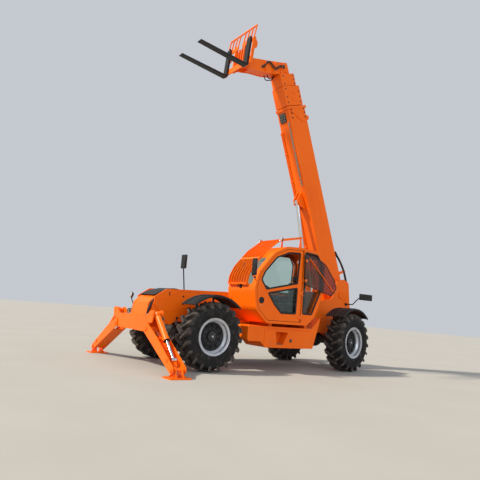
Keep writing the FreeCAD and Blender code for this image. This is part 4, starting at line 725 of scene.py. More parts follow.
# Outlines of the openings and of the cab, seen from the side: along, up and corner radius.
UPPER_LIGHT = [(-89, 1745, 30), (705, 1565, 60), (850, 1751, 60), (770, 1920, 150), (500, 2220, 200),
               (181, 2357, 80), (-129, 2386, 40)]
LOWER_LIGHT = [(-79, 1134, 40), (308, 1132, 60), (489, 1288, 60), (673, 1505, 30), (-95, 1669, 40)]
QUARTER_LIGHT = [(-260, 1150, 50), (-530, 1150, 60), (-765, 1670, 200), (-760, 2220, 120), (-620, 2400, 90),
                 (-260, 2420, 50)]
RIGHT_LIGHT = [(-700, 1560, 80), (820, 1560, 80), (800, 1850, 150), (500, 2230, 200), (200, 2380, 100),
               (-640, 2400, 80), (-740, 2200, 80)]
CAB_SIDE = [(650, 923, 70), (930, 1170, 180), (1003, 1560, 250), (915, 1890, 250), (560, 2310, 300),
            (240, 2470, 260)]
CAB_SIDE_LOW, CAB_SIDE_TOP = 923, 2504
LEAF_FOLD = -167.5
DOOR_REAR, DOOR_GAP_IN = -213, 53


def grown(corners, by):
    """The outline moved outwards by a width, about its middle."""
    middle = sum((Vector(corner[:2]) for corner in corners), Vector((0, 0))) / len(corners)
    result = []
    for corner in corners:
        away = Vector(corner[:2]) - middle
        result.append((*(middle + away * (1 + by / away.length)), corner[2] + by * 0.5))
    return result


def door_edge(depth, rear):
    """The cab's side profile forward of one place, its other edges moved in by a depth."""
    corners = [Vector((rear - depth, CAB_SIDE_LOW))] + [Vector(corner[:2]) for corner in CAB_SIDE]
    corners.append(Vector((rear - depth, CAB_SIDE_TOP)))
    radii = [40] + [corner[2] - depth * 0.7 for corner in CAB_SIDE] + [40]
    result = []
    for number, here in enumerate(corners):
        before, after = corners[number - 1], corners[(number + 1) % len(corners)]
        inward = [Vector((-way.y, way.x)).normalized() for way in (here - before, after - here)]
        shift = (inward[0] + inward[1]) * depth / (1 + inward[0].dot(inward[1]))
        result.append((*(here + shift), radii[number]))
    return result


def seals():
    """Rubber glazing seals round each opening of the cab, and the weather strip in the gap round the door."""
    # Columns: name, body, outline, the face that the seal sits in.
    rows = [
        ("door_upper_seal", "door", UPPER_LIGHT, DOOR_FACE),
        ("door_lower_seal", "door", LOWER_LIGHT, DOOR_FACE),
        ("quarter_seal", "chassis", QUARTER_LIGHT, PILLAR_FACE),
        ("right_seal", "chassis", RIGHT_LIGHT, RIGHT_FACE),
    ]
    lap, sunk, depth, soft, width = 12, 12, 16.5, 3.5, 32
    for name, body, corners, face in rows:
        ring = sheet_piece(rounded(grown(corners, lap), 6), side_plane(face - sunk), depth, soft, rim=width)
        settle(ring, name, body, "black_plastic", SEAL)
    folded = [(LEAF_FOLD * 2 - along, up, radius) for along, up, radius in reversed(UPPER_LIGHT)]
    edge = sheet_piece(rounded(folded, 6), side_plane(LEAF_FACE - 10.5), 15, 3, rim=16)
    settle(edge, "leaf_edge_trim", "chassis", "black_plastic", SEAL)
    strip = sheet_piece(rounded(door_edge(DOOR_GAP_IN, DOOR_REAR), 8), side_plane(1161.2), 29, rim=7.2)
    settle(strip, "door_weather_strip", "door", "black_plastic", SEAL)


def leaf_fittings():
    """Stay rod of the folded window leaf with its feet, and the hinge straps with their bolts."""
    stay = at_side(1256, (-360, 2280), (-500, 2160), (-920, 1800), (-1050, 1690))
    pieces = [pipe(stay, 9, ORANGE)]
    for point in (stay[0], stay[-1]):
        pieces.append(turned((point[0], 1245.5, point[2]), OUT,
                             [(19, 0), (19, 6), (13, 10), (11, 21)], 20, ORANGE))
    for z in (1830, 2240):
        pieces.append(plate(ORANGE, (-262, 1200.5, z - 32), (-212, 1213.5, z + 32), 4))
        pieces.append(plate(ORANGE, (-300, 1250.5, z - 24), (-236, 1260, z + 24), 4))
        for x, face in ((-240, 1213.5), (-284, 1260)):
            pieces.append(bolt((x, face, z), OUT, 9, 7, ZINC))
    settle(pieces, "leaf_stay", "chassis", "orange_paint")


def door_latch():
    """Round recessed latch: bezel, dark cup, paddle and key barrel."""
    bezel = turned((812, DOOR_FACE, 1350), OUT, [
        (64, -3), (64, 2), (60, 4.5), (53, 4.5), (49, 1), (47, -14.5),
        (40, -15.5), (30, -15.5)], 48, PLASTIC)
    paddle = block((798, DOOR_FACE - 15.5, 1310), (826, DOOR_FACE - 1, 1388), 5, 3, PLASTIC)
    barrel = turned((808, DOOR_FACE, 1255), OUT, [
        (13, -1), (13, 3), (10, 5), (7, 4.5)], 24, ZINC)
    settle([bezel, paddle, barrel], "door_latch", "door", "black_plastic")


def hinge_caps():
    pieces = []
    for height in (1080, 1560):
        for way in (1, -1):
            pieces.append(turned((-215, 1216, height + 46 * way), UP * way,
                                 [(12.5, -0.5), (12.5, 5), (9, 8)], 20))
    settle(pieces, "door_hinge_caps", "chassis", "guard_paint", ZINC)


def wiper():
    """Windscreen wiper with its motor cap under the guard, and its arm up the glass."""
    motor = turned((985, 735, 1600), (0.96, 0, 0.26), [
        (42, -4), (42, 18), (32, 28), (14, 30), (12, 40), (6, 42)],
        28, PLASTIC)
    arm = pipe([(1018, 735, 1612), (1004, 730, 1660), (975, 700, 1780), (935, 660, 1930)],
               6, PLASTIC)
    blade = plate(PLASTIC, (-6, -6, -260), (6, 6, 260), 3)
    moved(blade, Matrix.Translation((958, 660, 1830)) @ Matrix.Rotation(math.radians(-15.2), 4, "Y"))
    settle([motor, arm, blade], "windscreen_wiper", "chassis", "black_plastic")


def cushion(low, high):
    """Padded block: crowned faces with two sewn channels, sides pulled in between the corners."""
    crown, sides_in, corner_share = 0.22, 0.05, 0.97
    channel_depth, channel_at, channel_width = 0.10, 0.55, 0.07
    low, high = Vector(low), Vector(high)
    bpy.ops.object.select_all(action="DESELECT")
    bpy.ops.mesh.primitive_cube_add(size=2, location=(0, 0, 0))
    piece = bpy.context.object
    bpy.ops.object.mode_set(mode="EDIT")
    bpy.ops.mesh.select_all(action="SELECT")
    bpy.ops.mesh.subdivide(number_cuts=11)
    bpy.ops.object.mode_set(mode="OBJECT")
    middle, half = (low + high) / 2, (high - low) / 2
    thin = min(range(3), key=lambda way: half[way])
    wide = [way for way in range(3) if way != thin]
    for vertex in piece.data.vertices:
        unit = vertex.co.copy()
        pull = 1 - sides_in * (1 - abs(unit[thin]) ** 3)
        edge_share = max(abs(unit[wide[0]]), abs(unit[wide[1]]))
        swell = (1 - unit[wide[0]] ** 4) * (1 - unit[wide[1]] ** 4)
        from_channel = (abs(unit[wide[1]]) - channel_at) / channel_width
        channel = channel_depth * math.exp(-from_channel ** 2) * (1 - edge_share ** 6)
        spot = Vector((0, 0, 0))
        for way in wide:
            face_share = corner_share if abs(unit[thin]) < 0.9 else 1
            spot[way] = unit[way] * half[way] * face_share * (2 - pull) * corner_share
        spot[thin] = unit[thin] * half[thin] * (1 - crown + crown * swell - channel)
        vertex.co = (spot + middle) * MM
    softened(piece, min(half) * 0.25, 4, 50)
    alone(piece)
    finer = piece.modifiers.new("finer", "SUBSURF")
    finer.levels = finer.render_levels = 1
    bpy.ops.object.modifier_apply(modifier=finer.name)
    return piece


def seat():
    """Three padded pieces on a plastic base with arm rests."""
    # Columns: name, half width, rear and bottom, front and top, nodes that it stands for.
    rows = [
        ("seat_cushion", 250, (-490, 1225), (55, 1352), ["driver_seat"]),
        ("seat_back", 235, (-560, 1300), (-440, 1800), []),
        ("seat_head_rest", 130, (-550, 1815), (-460, 1940), []),
    ]
    for name, half, (rear, bottom), (front, top), nodes in rows:
        padded = cushion((rear, SEAT_MIDDLE - half, bottom), (front, SEAT_MIDDLE + half, top))
        settle(padded, name, "chassis", "seat_vinyl", instead_of=nodes, angle=60)
    base = [block((-340, SEAT_MIDDLE - 190, CAB_FLOOR), (-60, SEAT_MIDDLE + 190, 1020), 10),
            block((-310, SEAT_MIDDLE - 160, 1020), (-90, SEAT_MIDDLE + 160, 1190), 30, 4),
            block((-440, SEAT_MIDDLE - 220, 1190), (10, SEAT_MIDDLE + 220, 1228), 12, 3)]
    for side in (-1, 1):
        base.append(pipe(at_side(SEAT_MIDDLE + 60 * side, (-505, 1780), (-507, 1830)), 7))
        base.append(pipe(at_side(SEAT_MIDDLE + 265 * side, (-500, 1360), (-460, 1440), (-300, 1470),
                                 (-180, 1470)), 20))
    settle(base, "seat_base", "chassis", "black_plastic")


def cab_inside():
    """Side console with its levers, the dash round the column, and the pedals."""
    pieces = [block((-420, 340.5, 964), (340, 460, 1360), 30, 4),
              block((620, 345, 1300), (860, 1100, 1400), 40, 4)]
    for x, lean in ((-20, 50), (80, -20)):
        knob_x = x + lean * 1.6
        pieces.append(pipe([(x, 400, 1350), (x + lean, 400, 1440), (knob_x, 410, 1500)], 7))
        pieces.append(turned((knob_x, 410, 1490), UP, [
            (12, 0), (19, 12), (22, 30), (18, 48), (8, 56)], 20))
    for side in (-1, 1):
        pedal = SEAT_MIDDLE + 90 * side
        pieces.append(block((600, pedal - 35, 975), (660, pedal + 35, 1060), 8))
    settle(pieces, "cab_console", "chassis", "black_plastic")


def cab_shade_lining():
    """Dark moulded lining low on the cab's right wall, and a ribbed floor mat: black partly as their own
    colour, partly as painted shade for the cab's dim inside.
    """
    # The lining and the mat are black partly as painted shade of the cab's inside.
    wall = [(-690, 975, 20), (640, 975, 20), (855, 1180, 60), (910, 1505, 20), (-690, 1505, 20)]
    pieces = [sheet_piece(rounded(wall, 8), side_plane(349), 8, 2)]
    for low in (1020, 1260):
        pieces.append(block((-620, 345.5, low), (660, 358.5, low + 190), 6))
    pieces.append(block((-660, 352, CAB_FLOOR), (600, 1100, 971.5), 2))
    for number in range(12):
        x = 180 + number * 35
        pieces.append(block((x, 400, 970.5), (x + 12, 1060, 975.5), 1.5))
    settle(pieces, "cab_shade_lining", "chassis", "black_plastic")


seals()
leaf_fittings()
door_latch()
hinge_caps()
wiper()
seat()
cab_inside()
cab_shade_lining()


# Lamps and mirrors

def lamp(centre, way, radius, depth):
    """Round work lamp: black bowl, bright ring, clear lens. Shares of its radius give the widths."""
    bowl = turned(centre, way, [
        (radius * 0.45, -depth), (radius * 0.7, -depth * 0.9), (radius * 0.93, -depth * 0.45),
        (radius * 0.98, -8), (radius * 0.98, 0), (radius * 0.86, 0), (radius * 0.84, -6)], 40, PLASTIC)
    ring = turned(centre, way, [
        (radius * 0.99, -10), (radius, -2), (radius * 0.94, 4), (radius * 0.87, 2),
        (radius * 0.87, -8)], 40, SILVER, hollow=True)
    reflector = turned(centre, way, [
        (radius * 0.86, -4), (radius * 0.84, -3.5), (radius * 0.2, -3)], 40, SILVER)
    glass = turned(centre, way, [
        (radius * 0.87, -2.5), (radius * 0.86, 1), (radius * 0.6, 4.8), (radius * 0.3, 6.2),
        (radius * 0.05, 6.6)], 40, LENS)
    return joined([bowl, ring, reflector, glass])


def lamps():
    """Two lamps on the nose, two on the cab's roof, two red ones at the back."""
    pieces = []
    for side in SIDES.values():
        pieces.append(lamp((2467, 190 * side, 1309.3), AHEAD, 45, 46))
        rear = (REAR_FACE, 380 * side, 1150)
        pieces.append(turned(rear, -AHEAD, [
            (45, 0.3), (45, 14), (38, 22), (20, 24.2), (3, 24.5)], 40, RED_LENS))
        pieces.append(turned(rear, -AHEAD, [
            (40, 0.3), (52, 0.3), (52, 10), (46, 13), (45.5, 10)],
            40, PLASTIC, hollow=True))
    for y in (306.7, 1033.3):
        pieces.append(lamp((294, y, 2630), AHEAD, 45, 55))
        pieces.append(plate(PLASTIC, (246, y - 6, 2575), (262, y + 6, 2590), 2))
    settle(pieces, "lamps_housed", "chassis", "lamp_glass", instead_of=["lamps"])


def mirror_head(low, high, glass_way):
    """Rounded black housing with its mirror glass set into one face."""
    low, high, way = Vector(low), Vector(high), Vector(glass_way)
    shell = block(low, high, 18, 4, PLASTIC)
    middle, half = (low + high) / 2, (high - low) / 2
    thin = [number for number in range(3) if abs(way[number]) > 0.5][0]
    face_low, face_high = middle - half * 0.86, middle + half * 0.86
    surface_at = middle[thin] + half[thin] * (1 if way[thin] > 0 else -1)
    face_low[thin], face_high[thin] = sorted((surface_at - way[thin] * 6, surface_at + way[thin] * 0.2))
    return [shell, block(face_low, face_high, 1.5, 1, MIRROR)]


def mirrors():
    """Driver's mirror on the cab, one at the tail, one right of the nose, each with its arm and foot."""
    pieces = mirror_head((1062, 1200, 1800), (1108, 1330, 2130), (-1, 0, 0))
    pieces.append(pipe([(947, 1120, 1780), (1000, 1120, 1797), (1040, 1160, 1800), (1085, 1250, 1802),
                        (1085, 1265, 1840)], 12, GUARD_ORANGE))
    pieces.append(turned((945.5, 1120, 1779.6), (0.966, 0, 0.258), [
        (26, 0), (26, 8), (18, 12), (14, 26)], 24, PLASTIC))
    pieces += mirror_head((-3088, 562, 1600), (-2680, 638, 1750), (0, 0, 1))
    pieces.append(pipe([(-2420, 381, 1470), (-2420, 500, 1470), (-2420, 600, 1470), (-2460, 600, 1500),
                        (-2580, 600, 1600), (-2700, 600, 1665)], 13, BLACK))
    pieces.append(plate(BLACK, (-2455, TOWER_FACE, 1435), (-2385, 389, 1505), 3))
    pieces += mirror_head((1602, -620, 1900), (1658, -440, 2198), (-1, 0, 0))
    pieces.append(pipe([(1560, -381, 1300), (1560, -450, 1300), (1560, -500, 1305), (1575, -507, 1450),
                        (1610, -522, 1750), (1630, -530, 1920)], 13, BLACK))
    pieces.append(plate(BLACK, (1525, -389, 1265), (1595, -TOWER_FACE, 1335), 3))
    settle(pieces, "mirrors_housed", "chassis", "black_plastic", instead_of=["mirrors"])


lamps()
mirrors()


# Boom: bolts, caps, creases, valves, hoses

def boom_fittings():
    """Slide-block bolts on the heads, and keepers on the pivot pins."""
    # Columns: name, body, half width, bolt places along and across.
    rows = [
        ("boom_1_bolts", "boom_base", 242,
         [(4420, -220), (4420, 200), (4620, -220), (4620, 200), (4530, -220), (4530, 200)]),
        ("boom_2_bolts", "boom_second", 222,
         [(4800, 170), (4930, 170), (5060, 170), (4800, -240), (4930, -240), (5130, -240)]),
        ("boom_3_bolts", "boom_third", 202,
         [(5260, 110), (5360, 110), (5450, 110), (5260, -220), (5450, -220)]),
    ]
    # The bolt heads take the dark cast finish as painted shade, standing for the shaded recesses they sit in
    # on the orange heads.
    for name, body, half, places in rows:
        bolts = [bolt((along, half * side, across), OUT * side, 13, 10)
                 for along, across in places for side in SIDES.values()]
        settle(bolts, name, body, "dark_casting", place=BOOM_FRAME)
    caps = [pin_cap(BOOM_PIVOT + OUT * TOWER_FACE * side, OUT * side, 88, 20, 6)
            for side in SIDES.values()]
    settle(caps, "boom_pivot_caps", "chassis", "orange_paint")
    neck = [pin_cap(NECK_PIVOT + OUT * 196 * side, OUT * side, 55, 12, 3) for side in SIDES.values()]
    settle(neck, "neck_pivot_caps", "carriage", "orange_paint")


def boom_details():
    """Valve block and sheave at the first section's mouth, creases and clipped pipes along it."""
    crease = rounded([(1820, -150, 80), (2750, -150, 80), (2750, 60, 80), (1820, 60, 80)], 6)
    path = at_side(219.5, *crease)
    settle(both_sides([pipe(path + path[:2], 6)]), "boom_1_creases", "boom_base", "orange_paint",
           place=BOOM_FRAME)
    low, high, pipes_at = -308.5, -284.5, -296.5
    steel = []
    for y in (128, 152):
        steel.append(pipe([(along, y, pipes_at) for along in (2780, 3200, 4000, 4330)], 8, ZINC))
    for along in (2940, 3600, 4180):
        steel.append(plate(ORANGE, (along, 112, low), (along + 30, 168, high), 3))
    steel.append(plate(CASTING, (4360, -130, low), (4580, 80, high), 5))
    for along in (4400, 4470, 4540):
        for y in (-85, -20, 45):
            steel.append(turned((along, y, -307.5), -UP, [(14, -1), (14, 1), (10, 1.8)],
                                6, ZINC))
    bracket = rounded([(4330, 273, 4), (4350, 330, 20), (4400, 352, 30), (4450, 330, 20), (4470, 273, 4)], 4)
    for y in (130, 200):
        steel.append(sheet_piece(bracket, side_plane(y - 4), 8, 2, ORANGE))
    steel.append(turned((4400, 138, 318), OUT, [
        (42, 0), (46, 3), (46, 10), (34, 20), (32, 27), (34, 34),
        (46, 44), (46, 51), (42, 54)], 40, CASTING))
    settle(steel, "boom_1_valve_and_pipes", "boom_base", "dark_casting", place=BOOM_FRAME)


def boom_rear_hoses():
    """Hoses from a clamp on the boom's top, over a post and down behind its tail."""
    pieces = []
    for number, y in enumerate((165, 195, 225)):
        reach = 12 * number
        pieces.append(pipe([
            (1000, y, 284), (930, y, 300), (800, y, 385 - reach), (500, y, 470 - reach),
            (150, y, 465 - reach), (-140, y, 390 - reach), (-275, y, 230), (-262, y, 110),
            (-230, y - 20, 60)], 12.5, HOSE, 3))
    pieces.append(plate(CASTING, (970, 145, 274.5), (1020, 215, 305), 4))
    post = rounded([(430, 273, 4), (455, 500, 12), (485, 500, 12), (510, 273, 4)], 3)
    pieces.append(sheet_piece(post, side_plane(195 - 4), 8, 2, ORANGE))
    settle(pieces, "boom_rear_hoses", "boom_base", "black_plastic", place=BOOM_FRAME)


def cylinder_place(foot, eye):
    """Where a cylinder modelled along the first way from its foot pin lies, looking at its rod's eye."""
    return Matrix.Translation(foot) @ Matrix.Rotation(-math.atan2(eye.z - foot.z, eye.x - foot.x), 4, "Y")


def tilt_cylinder_fittings():
    """Gland ring, port blocks and pipe of the tilt cylinder."""
    pieces = [
        turned(AHEAD * 732, AHEAD, [
            (58.5, -10), (58.5, 3), (55, 6), (40, 7), (31, 9), (28.6, 9),
            (28.6, -10)], 48, BLACK, hollow=True),
        plate(CASTING, (110, -20, 45), (160, 20, 78), 4),
        plate(CASTING, (400, -16, 45), (440, 16, 72), 4),
        pipe(at_side(0, (160, 62), (220, 64), (340, 64), (400, 62)), 6.5, ZINC)]
    place = cylinder_place(BOOM_FRAME @ Vector((5580, 0, -40)), CARRIAGE_FRAME @ Vector((62, 0, 263)))
    settle(pieces, "tilt_cylinder_ports", "tilt_cylinder", "dark_casting", place=place)


def lift_cylinder_fittings():
    """Gland ring, port blocks, steel pipe and clamps of the lift cylinder, and its upper pin's keepers."""
    pieces = [
        turned(AHEAD * 1572, AHEAD, [
            (105.5, -12), (105.5, 4), (100, 8), (72, 10), (56, 13), (50.6, 13),
            (50.6, -12)], 56, BLACK, hollow=True),
        plate(CASTING, (160, -30, -135), (250, 30, -88), 5),
        plate(CASTING, (1430, -26, -130), (1500, 26, -88), 5),
        pipe(at_side(0, (250, -112), (360, -116), (1300, -116), (1430, -112)), 9, ZINC)]
    for along in (550, 950, 1300):
        pieces.append(plate(ZINC, (along, -24, -129), (along + 30, 24, -94), 4))
    place = cylinder_place(Vector((-1620, 0, 1050)), BOOM_FRAME @ Vector((2420, 0, -420)))
    settle(pieces, "lift_cylinder_ports", "lift_cylinder", "dark_casting", place=place)
    caps = [pin_cap((2420, 77.3 * side, -420), OUT * side, 50, 12, 3) for side in SIDES.values()]
    settle(caps, "lift_pin_keepers", "boom_base", "orange_paint", place=BOOM_FRAME)


boom_fittings()
boom_details()
boom_rear_hoses()
tilt_cylinder_fittings()
lift_cylinder_fittings()


# Gooseneck and carriage

def neck_ribs():
    """Stiffeners, rounded edges and a pin keeper on the gooseneck's side plates."""
    ribs = []
    # Columns: first end, last end, how far it stands out.
    for first, last, height in (((5600, -700), (5815, -640), 30),
                                ((5560, -470), (5800, -330), 30),
                                ((5535, -245), (5770, -80), 26)):
        run = Vector((last[0] - first[0], 0, last[1] - first[1]))
        bar = block((0, NECK_FACE - 2, -6), (run.length, NECK_FACE + height, 6), 2)
        turn = Matrix.Rotation(-math.atan2(run.z, run.x), 4, "Y")
        ribs.append(moved(bar, Matrix.Translation((first[0], 0, first[1])) @ turn))
    ribs.append(pipe(at_side(NECK_FACE, (5775, 45), (5783, -100), (5822, -400), (5838, -550),
                             (5852, -720)), 8))
    ribs.append(pipe(at_side(NECK_FACE, (5512, -215), (5530, -420), (5545, -580), (5575, -720)), 8))
    ribs.append(pin_cap((5580, NECK_FACE, -40), OUT, 52, 14, 4))
    settle(both_sides(ribs), "neck_stiffeners", "boom_tip", "orange_paint", place=BOOM_FRAME)


def neck_hoses():
    """Two clipped hoses and a bulkhead block on the gooseneck's left side."""
    face = NECK_FACE - 1
    near, crossing, far = NECK_FACE + 16, NECK_FACE + 16 + 20, NECK_FACE + 16 + 22
    routes = [
        [(5700, near, -785), (5672, near, -770), (5690, near, -700), (5795, crossing, -600),
         (5790, far, -530), (5640, crossing, -430), (5612, far, -370), (5690, far, -200),
         (5672, near, -135)],
        [(5730, near, -765), (5712, near, -735), (5735, near, -680), (5822, crossing, -575),
         (5800, far, -500), (5665, crossing, -400), (5648, far, -350), (5722, far, -220),
         (5704, near, -135)]]
    hoses = [pipe(route, 11.5, HOSE, 3) for route in routes]
    hoses.append(plate(CASTING, (5650, face, -135), (5726, NECK_FACE + 36, -70), 5))
    for along in (5672, 5704):
        hoses.append(hex_fitting((along, near, -135), -UP, -1, (16, 18, 34)))
    for along, across in ((5690, -772), (5618, -385), (5800, -565)):
        hoses.append(plate(ZINC, (along - 26, face, across - 11),
                           (along + 40, NECK_FACE + 8, across + 11), 3))
    settle(hoses, "neck_side_hoses", "boom_tip", "black_plastic", place=BOOM_FRAME)


def carriage_fittings():
    """Fork hooks and locking pins, gussets behind the end plates, lever pin keepers."""
    hook = rounded([(132, 396, 6), (166, 396, 2), (166.6, 395, 0), (216, 395, 10), (216, 440, 20),
                    (140, 440, 8), (132, 432, 4)], 4)
    gusset = rounded([(100.5, 420, 6), (100.5, 150, 6), (40, 215, 30), (34, 330, 40)], 5)
    dark, bolts, orange = [], [], []
    for side in SIDES.values():
        middle = 400 * side
        dark.append(sheet_piece(hook, side_plane(middle - 55), 110, 4))
        dark.append(turned((191, middle, 439.5), UP, [
            (13, -1), (13, 18), (21, 22), (21, 32), (12, 36)], 20))
        bolts += [bolt((166.2, out * side, 100), AHEAD, 6, 5) for out in (492.5, 507.5)]
        orange.append(sheet_piece(gusset, side_plane(505 * side - 10), 20, 3))
        orange.append(pin_cap((62, 60.1 * side, 263), OUT * side, 36, 10, 2))
        orange.append(bolt((70, 515 * side, 275), OUT * side, 12, 10))
    settle(dark, "fork_hooks", "carriage", "black_paint", place=CARRIAGE_FRAME)
    settle(bolts + orange, "carriage_gussets", "carriage", "orange_paint", place=CARRIAGE_FRAME)


neck_ribs()
neck_hoses()
carriage_fittings()


# Nose: creases, latches, work lamp, hoses

def nose_fittings():
    """Pressed creases and latches of the nose plates, the work lamp on its stalk, hoses down to the beam."""
    upper = at_side(NOSE_FACE, (2600, 1205), (2470, 1228), (2360, 1268), (2260, 1342), (2170, 1383),
                    (2030, 1398), (1600, 1405))
    lower = at_side(NOSE_FACE, (2500, 972), (2400, 996), (2200, 1055), (1970, 1108), (1700, 1130))
    settle(both_sides([pipe(upper, 6.5), pipe(lower, 6.5)]), "nose_creases", "chassis", "orange_paint")
    slot = sheet_piece(rounded([(2356, 1290, 9), (2376, 1286, 9), (2384, 1356, 9), (2364, 1360, 9)], 4),
                       side_plane(NOSE_FACE - 1), 3, 0.8)
    plug = turned((2071, NOSE_FACE, 1295), OUT, [
        (19, -1), (19, 3), (14, 5), (4, 5)], 24)
    stop = turned((2167, NOSE_FACE, 881), OUT, [
        (24, -1), (24, 10), (18, 16), (5, 16)], 24)
    settle(both_sides([slot, plug, stop]), "nose_latches", "chassis", "black_plastic")

    lamp_out = -489
    foot = turned((2735, -372, BEAM_TOP), UP, [(34, 0), (34, 6), (20, 10), (14, 30)],
                  24, BLACK)
    stalk = pipe([(2735, -372, 900), (2737, -374, 1020), (2742, -400, 1110), (2748, -470, 1160),
                  (2749, lamp_out, 1215)], 11, BLACK)
    yoke = pipe([(2752, -545, 1262), (2750, -548, 1205), (2749, lamp_out, 1200), (2750, -430, 1205),
                 (2752, -433, 1262)], 5.5, BLACK)
    settle([foot, stalk, yoke, lamp((2778, lamp_out, 1262), AHEAD, 54, 60)], "nose_work_lamp",
           "chassis", "lamp_glass")

    hoses = []
    for lift, back in ((0, 0), (30, 34)):
        end = 2745 + back
        hoses.append(pipe([
            (2440, 347, 1300 + lift), (2560, 347, 1275 + lift), (2660, 348, 1185 + lift),
            (2710 + back / 2, 350, 1090 + lift), (2760 + back / 2, 352, 1000), (end, 362, 925),
            (end, 364, 892)], 10.5, HOSE))
        hoses.append(turned((end, 364, BEAM_TOP), UP, [
            (16, 0), (16, 14), (13, 16), (13, 36), (11.5, 38)], 6, ZINC))
    settle(both_sides(hoses), "nose_hoses", "chassis", "black_plastic")


nose_fittings()


# Stabilisers: pins, pipes, gussets

def down_frame(across, height, angle):
    """Left side's own frame: first way outwards and down by an angle in degrees, third way square to it."""
    turn = math.radians(angle)
    along, up = Vector((0, math.cos(turn), -math.sin(turn))), Vector((0, math.sin(turn), math.cos(turn)))
    ways = Matrix((along, Vector((-1, 0, 0)), up)).transposed()
    return Matrix.Translation((BEAM_MIDDLE, across, height)) @ ways.to_4x4()


LEG_FRAME = down_frame(700, 690, 28)
RAM_FRAME = down_frame(840, 945, 42.34)
CHEEK = 122.1


def for_each_side(pieces, place, name, body, slot):
    """Place pieces modelled in a left side's frame on both sides, each on its own body."""
    left = moved(joined(pieces), place)
    for piece, side in ((left, "left"), (mirrored(left), "right")):
        settle(piece, f"{name}_{side}", body if body == "chassis" else f"{body}_{side}", slot)


def stabiliser_legs():
    """Pin keepers and weld ribs of the legs, keepers on the cylinders' upper pins."""
    caps = []
    for way in (1, -1):
        # Columns: place along, how far out, place across, radius, height, bolts.
        for along, out, across, radius, height, bolts in (
                (0, CHEEK, 0, 52, 12, 3), (985, CHEEK, 40, 36, 12, 2),
                (1200, CHEEK + 6, 0, 34, 10, 2)):
            caps.append(pin_cap((along, out * way, across), OUT * way, radius, height, bolts))
    for_each_side(caps, LEG_FRAME, "stabiliser_pins", "stabiliser", "orange_paint")
    ribs = [block((280, -100, -52), (300, 100, -20), 3),
            block((620, -100, -46), (640, 100, -14), 3)]
    for_each_side(ribs, LEG_FRAME, "stabiliser_leg_ribs", "stabiliser", "orange_paint")
    ears = [pin_cap((0, 100.1 * way, 0), OUT * way, 36, 4.2, 0) for way in (1, -1)]
    for_each_side(ears, RAM_FRAME, "stabiliser_ram_keepers", "chassis", "orange_paint")


def stabiliser_ports():
    """Port blocks on the cylinder's rear side, the clamped steel pipe between them, and the gland ring."""
    pieces = [plate(CASTING, (85, 40, -22), (150, 82, 22), 4),
              plate(CASTING, (505, 45, -18), (550, 76, 18), 4),
              pipe([(150, 62, 0), (210, 66, 0), (400, 66, 0), (505, 62, 0)], 6.5, ZINC)]
    for along in (240, 420):
        pieces.append(plate(ZINC, (along, 50, -14), (along + 22, 77, 14), 3))
    for up in (-11, 11):
        pieces.append(turned((118, 82, up), OUT, [(10, -1), (10, 12), (7, 20)], 6, ZINC))
    pieces.append(turned(AHEAD * 612, AHEAD, [
        (55.5, -10), (55.5, 3), (52, 6), (36, 7), (30, 10), (27.6, 10),
        (27.6, -10)], 48, BLACK, hollow=True))
    for_each_side(pieces, RAM_FRAME, "stabiliser_ram_ports", "stabiliser_cylinder", "dark_casting")


def pad_gussets():
    """Welded gussets between each pad and its ears."""
    corners = [(0, 0), (55, 0), (0, 60)]
    gussets = []
    for way in (1, -1):
        for out in (-60, 60):
            gusset = sheet_piece(corners, cross_plane(0), 8, 1.5)
            flip = Matrix.Rotation(math.radians(-90 * way), 4, "Z")
            spot = Matrix.Translation((BEAM_MIDDLE + 72.2 * way, PAD_OUT + out, 17.8))
            gussets.append(moved(gusset, spot @ flip @ Matrix.Translation((-4, 0, 0))))
    for_each_side(gussets, Matrix.Identity(4), "stabiliser_pad_gussets", "stabiliser_foot", "orange_paint")


def beam_hoses():
    """Jumper hoses between bulkhead fittings on the beam's top."""
    pieces = []
    for x in (2736, 2768):
        pieces.append(pipe([(x, 430, 895), (x, 436, 965), (x, 500, 990), (x, 564, 965),
                            (x, 570, 895)], 9.5, HOSE))
        for y in (430, 570):
            pieces.append(hex_fitting((x, y, BEAM_TOP), UP, 0, (12, 14, 26)))
    for_each_side(pieces, Matrix.Identity(4), "beam_hoses", "chassis", "black_plastic")


stabiliser_legs()
stabiliser_ports()
pad_gussets()
beam_hoses()


# Chassis: pins, skirt, hood, axles, hitch

def chassis_fittings():
    """Pin keepers on the towers, counterweight bolts, and the tow pin in its hitch."""
    caps = [pin_cap((-2400, TOWER_FACE, 1545), OUT, 52, 14, 3),
            pin_cap((-1620, TOWER_FACE, 1050), OUT, 60, 14, 4)]
    settle(both_sides(caps), "tower_pin_keepers", "chassis", "orange_paint")
    bolts = [bolt((-2860.1, 260, height), -AHEAD, 24, 18) for height in (680, 1160)]
    settle(both_sides(bolts), "counterweight_bolts", "chassis", "dark_casting")
    pin_x = -2910
    pin = turned((pin_x, 0, 655), UP, [
        (10, 0), (15, 8), (15, 175), (27, 177), (27, 190), (13, 196)], 24)
    loop = [(0, 845), (-30, 862), (-32, 895), (0, 912), (32, 895), (30, 862), (0, 845)]
    handle = pipe([(pin_x, y, z) for y, z in loop], 5.5)
    settle([pin, handle], "tow_pin", "chassis", "dark_casting", ZINC)


